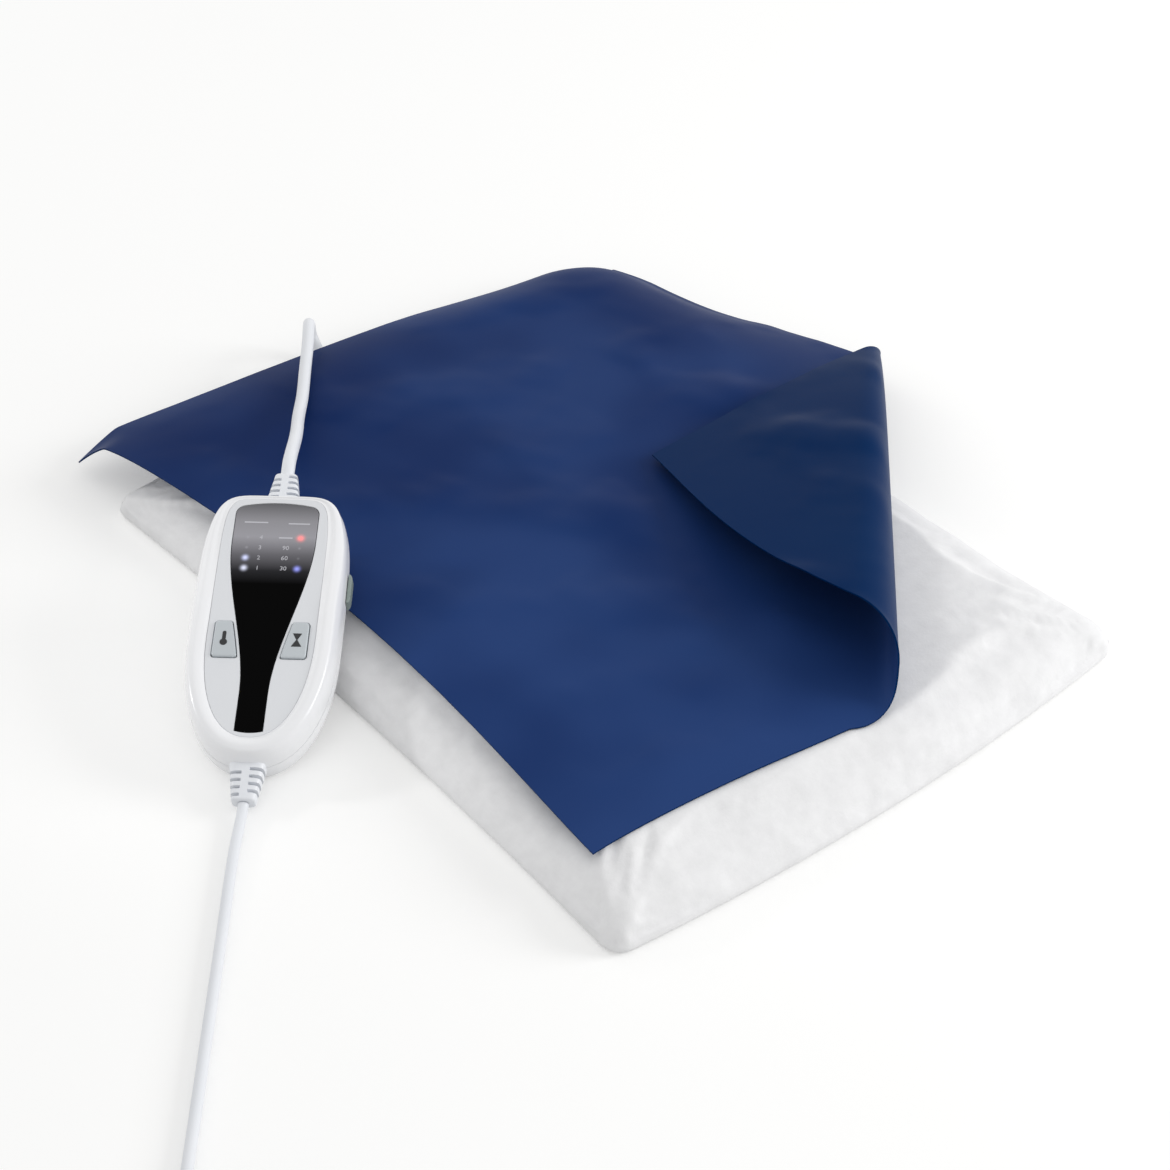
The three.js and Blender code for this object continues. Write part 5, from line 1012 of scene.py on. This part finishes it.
def rim_lift(y):
    """How far the rounded rim stands over the face: full at the lower end, fading out towards the upper one."""
    return HAND_RIM * (1 - ease(y, *HAND_RIM_FADE))


def rim_outline(share, more=0.0):
    """The outline a share of the way from the housing's side to the face plate's edge, and some more."""
    return hand_outline(FACE_SIDE * share + more, FACE_LOW * share + more, FACE_TOP * share + more,
                        HAND_TOP_POWER + (FACE_TOP_POWER - HAND_TOP_POWER) * share)


def rim_ring(share, drop):
    """A ring on the rim, below its crest by a drop."""
    outline = rim_outline(share)
    return np.c_[outline, HAND_FACE + rim_lift(outline[:, 1]) - drop]


def upper_shell():
    """Upper housing: a smooth profile from the parting seam up the wall and over the rim into the groove round the
    face, then the ledge and the inner wall."""
    seam = HAND_PARTING + GAP / 2
    height = HAND_FACE - seam
    groove = rim_outline(1)
    groove = np.c_[groove, HAND_FACE - 0.2 + 0.1 * rim_lift(groove[:, 1])]
    outer = through([even_ring(0.12, seam + 0.15), even_ring(0, seam + 0.6), even_ring(0.35, seam + height * 0.5),
                     even_ring(1.1, seam + height * 0.78), rim_ring(0.24, 1.3), rim_ring(0.42, 0.3),
                     rim_ring(0.6, 0), rim_ring(0.8, 0.5), groove], 6)
    ledge_top = HAND_FACE - FACE_THICK - GAP
    inner = rim_outline(1, FACE_LEDGE)
    ledge_low = ledge_top - LEDGE_THICK
    rest = [at_height(rim_outline(1), ledge_top), at_height(inner, ledge_top), at_height(inner, ledge_low),
            even_ring(HAND_WALL + 0.9, ledge_low), even_ring(HAND_WALL, seam), even_ring(0.5, seam)]
    return lofted(hand(np.concatenate([outer, np.array(rest)])), closed=True)


def lower_shell():
    """Lower housing: from the parting seam down the wall and round to the sole, with a flat sole and a flat top."""
    seam = HAND_PARTING - GAP / 2
    down = [(0.12, seam - 0.15), (0, seam - 0.6), *HAND_SOLE]
    wall = through([even_ring(*stop) for stop in down], 6)
    rings = np.concatenate([[even_ring(HAND_WALL, seam), even_ring(0.5, seam)], wall])
    points, faces = lofted(hand(rings))
    points[:, 2] = np.maximum(points[:, 2], 0.01)
    return points, faces


def window_half(y):
    """Half width of the window along the housing: an eased run from narrow to wide."""
    return WINDOW_LOW_HALF + (WINDOW_TOP_HALF - WINDOW_LOW_HALF) * ease(y, *WINDOW_NARROWS)


def window_outline(grow):
    """The window's sides, a quarter-round corner, a low arch over the top and a flatter one at the lower end."""
    high, half, r = WINDOW_HIGH + grow, WINDOW_TOP_HALF + grow, WINDOW_CORNER
    y = np.linspace(WINDOW_LOW - grow, high - r, 60)
    side = np.c_[window_half(y) + grow, y]
    turn = np.linspace(0.1, 1.35, 9)
    corner = np.c_[half - r + r * np.cos(turn), high - r + r * np.sin(turn)]
    t = np.linspace(0.62, -0.62, 17)
    top = np.c_[t * half, high + WINDOW_ARCH * (1 - (t / 0.8) ** 2)]
    right = np.concatenate([side, corner])
    s = np.linspace(-1, 1, 15)[1:-1]
    low = np.c_[s * (WINDOW_LOW_HALF + grow), WINDOW_LOW - grow - 0.9 * (1 - s * s)]
    return np.concatenate([right, top, right[::-1] * [-1, 1], low])


def key_outline(side, grow):
    """A key's outline: its inner side follows the window, its outer side is straight, and its corners are round."""
    low, high, outer, r = KEY_LOW - grow, KEY_HIGH + grow, KEY_OUTER + grow, 1.7
    y = np.linspace(low + 0.9, high - 0.9, 24)
    inner = np.c_[window_half(y) + KEY_TO_WINDOW - grow, y]
    turn = np.linspace(0, np.pi / 2, 8)
    top = np.c_[outer - r + r * np.sin(turn), high - r + r * np.cos(turn)]
    foot = np.c_[outer - r + r * np.cos(turn), low + r - r * np.sin(turn)]
    ends = [[inner[-1, 0] + 0.35, high - 0.2], [inner[-1, 0] + 1.1, high]]
    starts = [[inner[0, 0] + 1.1, low], [inner[0, 0] + 0.35, low + 0.2]]
    line = np.concatenate([inner, ends, top, foot, starts])
    return evenly(np.concatenate([line, line[:1]]), KEY_POINTS + 1)[:-1] * [side, 1]


def key_cap(side):
    """A key: its outline carried up out of its hole, over a rounded edge, and in to a slightly hollow top."""
    top = HAND_FACE + KEY_PROUD
    stops = [(0, HAND_FACE - 2.6), (0, top - 0.75), (-0.06, top - 0.45), (-0.22, top - 0.2), (-0.5, top - 0.04),
             (-0.85, top)]
    rings = [at_height(key_outline(side, grow), z) for grow, z in stops]
    edge = rings[-1]
    middle = edge.mean(0)
    for share in (0.85, 0.65, 0.4, 0.15):
        ring = middle + (edge - middle) * share
        ring[:, 2] = top - 0.12 * (1 - share)
        rings.append(ring)
    return lofted(hand(np.array(rings)))


def thermometer_mark(x, y):
    """Round bulb and a stem with a round end, as one outline."""
    bulb = np.linspace(np.radians(120), np.radians(420), 30)
    tip = np.linspace(0, np.pi, 12)
    return np.concatenate([np.c_[x + 1.7 * np.cos(bulb), y - 2 + 1.7 * np.sin(bulb)],
                           np.c_[x + 0.85 * np.cos(tip), y + 3 + 0.85 * np.sin(tip)]])


def hourglass_mark(x, y):
    """Two triangles, tip to tip."""
    return np.array([[x - 2.1, y + 3.4], [x - 0.25, y], [x - 2.4, y - 3.6], [x + 2.4, y - 3.6], [x + 0.25, y],
                     [x + 2.1, y + 3.4]])


def slider_knob():
    """Power knob on the side wall: a low pillow that falls off to its ends by a sixth power, with grip ribs, and a
    flat back."""
    rows, cols = 73, 33
    y, z = np.meshgrid(np.linspace(-1, 1, rows), np.linspace(-1, 1, cols), indexing="ij")
    swell = np.sqrt(np.maximum(0, 1 - np.abs(y) ** 6)) * np.sqrt(np.maximum(0, 1 - np.abs(z) ** 8))
    ribs = 0.3 * np.cos(y * SLIDER_LENGTH / 2 * np.pi) * ease(np.abs(y), 0.62, 0.5) * ease(np.abs(z), 0.95, 0.7)
    back = HAND_WIDTH / 2 + 0.3
    grid = lambda x: np.stack([x, SLIDER_MIDDLE + y * SLIDER_LENGTH / 2, SLIDER_Z + z * SLIDER_HEIGHT / 2], -1)
    front = grid(back + 0.05 + SLIDER_PROUD * swell - np.maximum(ribs, 0))
    rear = grid(np.full_like(y, back))
    return hand(np.concatenate([front.reshape(-1, 3), rear.reshape(-1, 3)])), back_to_back(rows, cols)


def number(text, x, y, size):
    """A plain number as flat print on the window."""
    curve = bpy.data.curves.new("number", "FONT")
    curve.body, curve.size, curve.align_x, curve.align_y = text, size * MM, "CENTER", "CENTER"
    curve.offset_x, curve.offset_y, curve.extrude, curve.resolution_u = x * MM, y * MM, 0.01 * MM, 3
    return flattened(curve, HAND_FACE + WINDOW_PROUD + 0.02)


def make_controller():
    """Housing, face, window, keys, marks and the power knob."""
    piece("housing_top", *upper_shell(), HOUSING, sharp=45, slot="housing", stands_for=["handset_upper_shell"])
    piece("housing_base", *lower_shell(), HOUSING, sharp=45, slot="housing", stands_for=["handset_lower_shell"])
    holes = [window_outline(GAP)[::-1], key_outline(-1, 0.35), key_outline(1, 0.35)[::-1]]
    mesh, uv = plate([rim_outline(1, 0.1), *holes], HAND_FACE - FACE_THICK, HAND_FACE, 0.25)
    placed("face_panel", mesh, FACE, uv, slot="face", stands_for=["face_plate"])
    top = HAND_FACE + WINDOW_PROUD
    mesh, uv = plate([window_outline(0)], top - WINDOW_THICK, top, 0.3)
    placed("window_lens", mesh, WINDOW, uv, slot="window", stands_for=["display_window"])
    middle = (KEY_LOW + KEY_HIGH) / 2
    for side, name, mark in ((-1, "temperature", thermometer_mark), (1, "timer", hourglass_mark)):
        piece(f"{name}_key_cap", *key_cap(side), KEY, body=f"{name}_key", slot="key", stands_for=[f"{name}_key"])
        x = side * (window_half(middle) + KEY_TO_WINDOW + KEY_OUTER) / 2
        level = HAND_FACE + KEY_PROUD - 0.08
        mesh, uv = plate([mark(x, middle)], level - 0.06, level + 0.1, 0.02)
        placed(f"{name}_mark", mesh, INK, uv, body=f"{name}_key", slot="component")
    piece("power_knob", *slider_knob(), SLIDER, sharp=50, body="power_slider", slot="slider",
          stands_for=["power_slider"])
    prints = [("level", row, str(4 - row), -LED_COLUMN + 6.2) for row in range(4)]
    prints += [("minutes", row, text, LED_COLUMN - 6.4) for row, text in ((1, "90"), (2, "60"), (3, "30"))]
    for kind, row, text, x in prints:
        mesh, uv = number(text, x, LED_FIRST - row * LED_PITCH, NUMBER_SIZE)
        placed(f"{kind}_{text}", mesh, PALE_INK, uv, slot="lamp")
    for name, x, y, half in (("always_on", LED_COLUMN - 7, LED_FIRST, 3.2),
                             ("level_heading", -LED_COLUMN + 3, 125, 5.5),
                             ("minutes_heading", LED_COLUMN - 1.5, 124.6, 5)):
        bar = np.array([x, y]) + np.array([[-half, -0.35], [half, -0.35], [half, 0.35], [-half, 0.35]])
        mesh, uv = plate([bar], top - 0.02, top + 0.03, 0.005)
        placed(name, mesh, PALE_INK, uv, slot="lamp")


make_controller()

# Pieces inside keep their solids and get their finish
INSIDE = {
    FELT: ["heater_felt"], WIRE: ["heating_wire"], HOUSING: ["terminal_block"], BOARD: ["circuit_board"],
    EPOXY: ["thermostat_1", "thermostat_2", "temperature_switch", "timer_switch", "temperature_plunger",
            "timer_plunger", "slide_switch", "triac", "control_chip"],
    FILM: ["film_capacitor"], STEEL: ["fuse", *[f"housing_screw_{k}" for k in range(1, 5)]],
    LENS: [f"{kind}_led_{k}" for kind in ("temperature", "timer") for k in range(1, 5)],
}
for look, names in INSIDE.items():
    for name in names:
        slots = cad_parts[name].data.materials
        slots.clear()
        slots.append(look)


# Floor and light

def looked_at(tree):
    """1 for rays that come from the camera, also by way of gloss or a clear piece, and 0 for light."""
    rays = add(tree, "LightPath").outputs
    seen = add(tree, "Math", {0: rays["Is Camera Ray"], 1: rays["Is Glossy Ray"]}, operation="ADD").outputs[0]
    return add(tree, "Math", {0: seen, 1: rays["Is Transmission Ray"]}, operation="ADD", use_clamp=True).outputs[0]


def make_stage():
    """A pale floor that is white where nothing shades it, a white surround, a broad soft light from behind on the
    right, a weaker one from the left and a narrow one from the left on the controller."""
    floor, tree, shader = finish("pale_floor", "#e9e9e8", 1.0, Specular_IOR_Level=0.0)
    lift = add(tree, "Math", {0: looked_at(tree), 1: FLOOR_LIFT}, operation="MULTIPLY")
    shader.inputs["Emission Color"].default_value = (1, 1, 1, 1)
    tree.links.new(lift.outputs[0], shader.inputs["Emission Strength"])
    mesh = bpy.data.meshes.new("floor")
    mesh.from_pydata([(x, y, -0.0004) for x, y in ((-9, -9), (9, -9), (9, 9), (-9, 9))], [], [(0, 1, 2, 3)])
    mesh.materials.append(floor)
    ground = shown("floor", mesh)

    world = bpy.data.worlds.new("surround")
    scene.world = world
    world.use_nodes = True
    tree = world.node_tree
    tree.nodes.clear()
    level = add(tree, "MapRange", {0: looked_at(tree), 3: SURROUND, 4: 1.0})
    glow = add(tree, "Background", {"Color": (1, 1, 1, 1), "Strength": level.outputs[0]})
    add(tree, "OutputWorld", {"Surface": glow.outputs[0]})

    for name, kind, place, aim, size, power in (
            ("back_light", "AREA", (1.15, 1.5, 0.85), (0.0, 0.0, 0.0), 0.9, 18.5),
            ("left_fill", "AREA", (-1.5, -0.35, 1.0), (0.0, -0.05, 0.0), 0.8, 1.8),
            ("controller_light", "SPOT", (-0.8, -0.85, 0.58), (-0.035, -0.165, 0.03), 0.07, 10.0)):
        data = bpy.data.lights.new(name, kind)
        data.energy = power
        if kind == "AREA":
            data.shape, data.size = "SQUARE", size
        else:
            data.spot_size, data.spot_blend, data.shadow_soft_size = math.radians(14), 1.0, size
        lamp = shown(name, data)
        lamp.location = place
        lamp.rotation_euler = (Vector(aim) - Vector(place)).to_track_quat("-Z", "Y").to_euler()


make_stage()
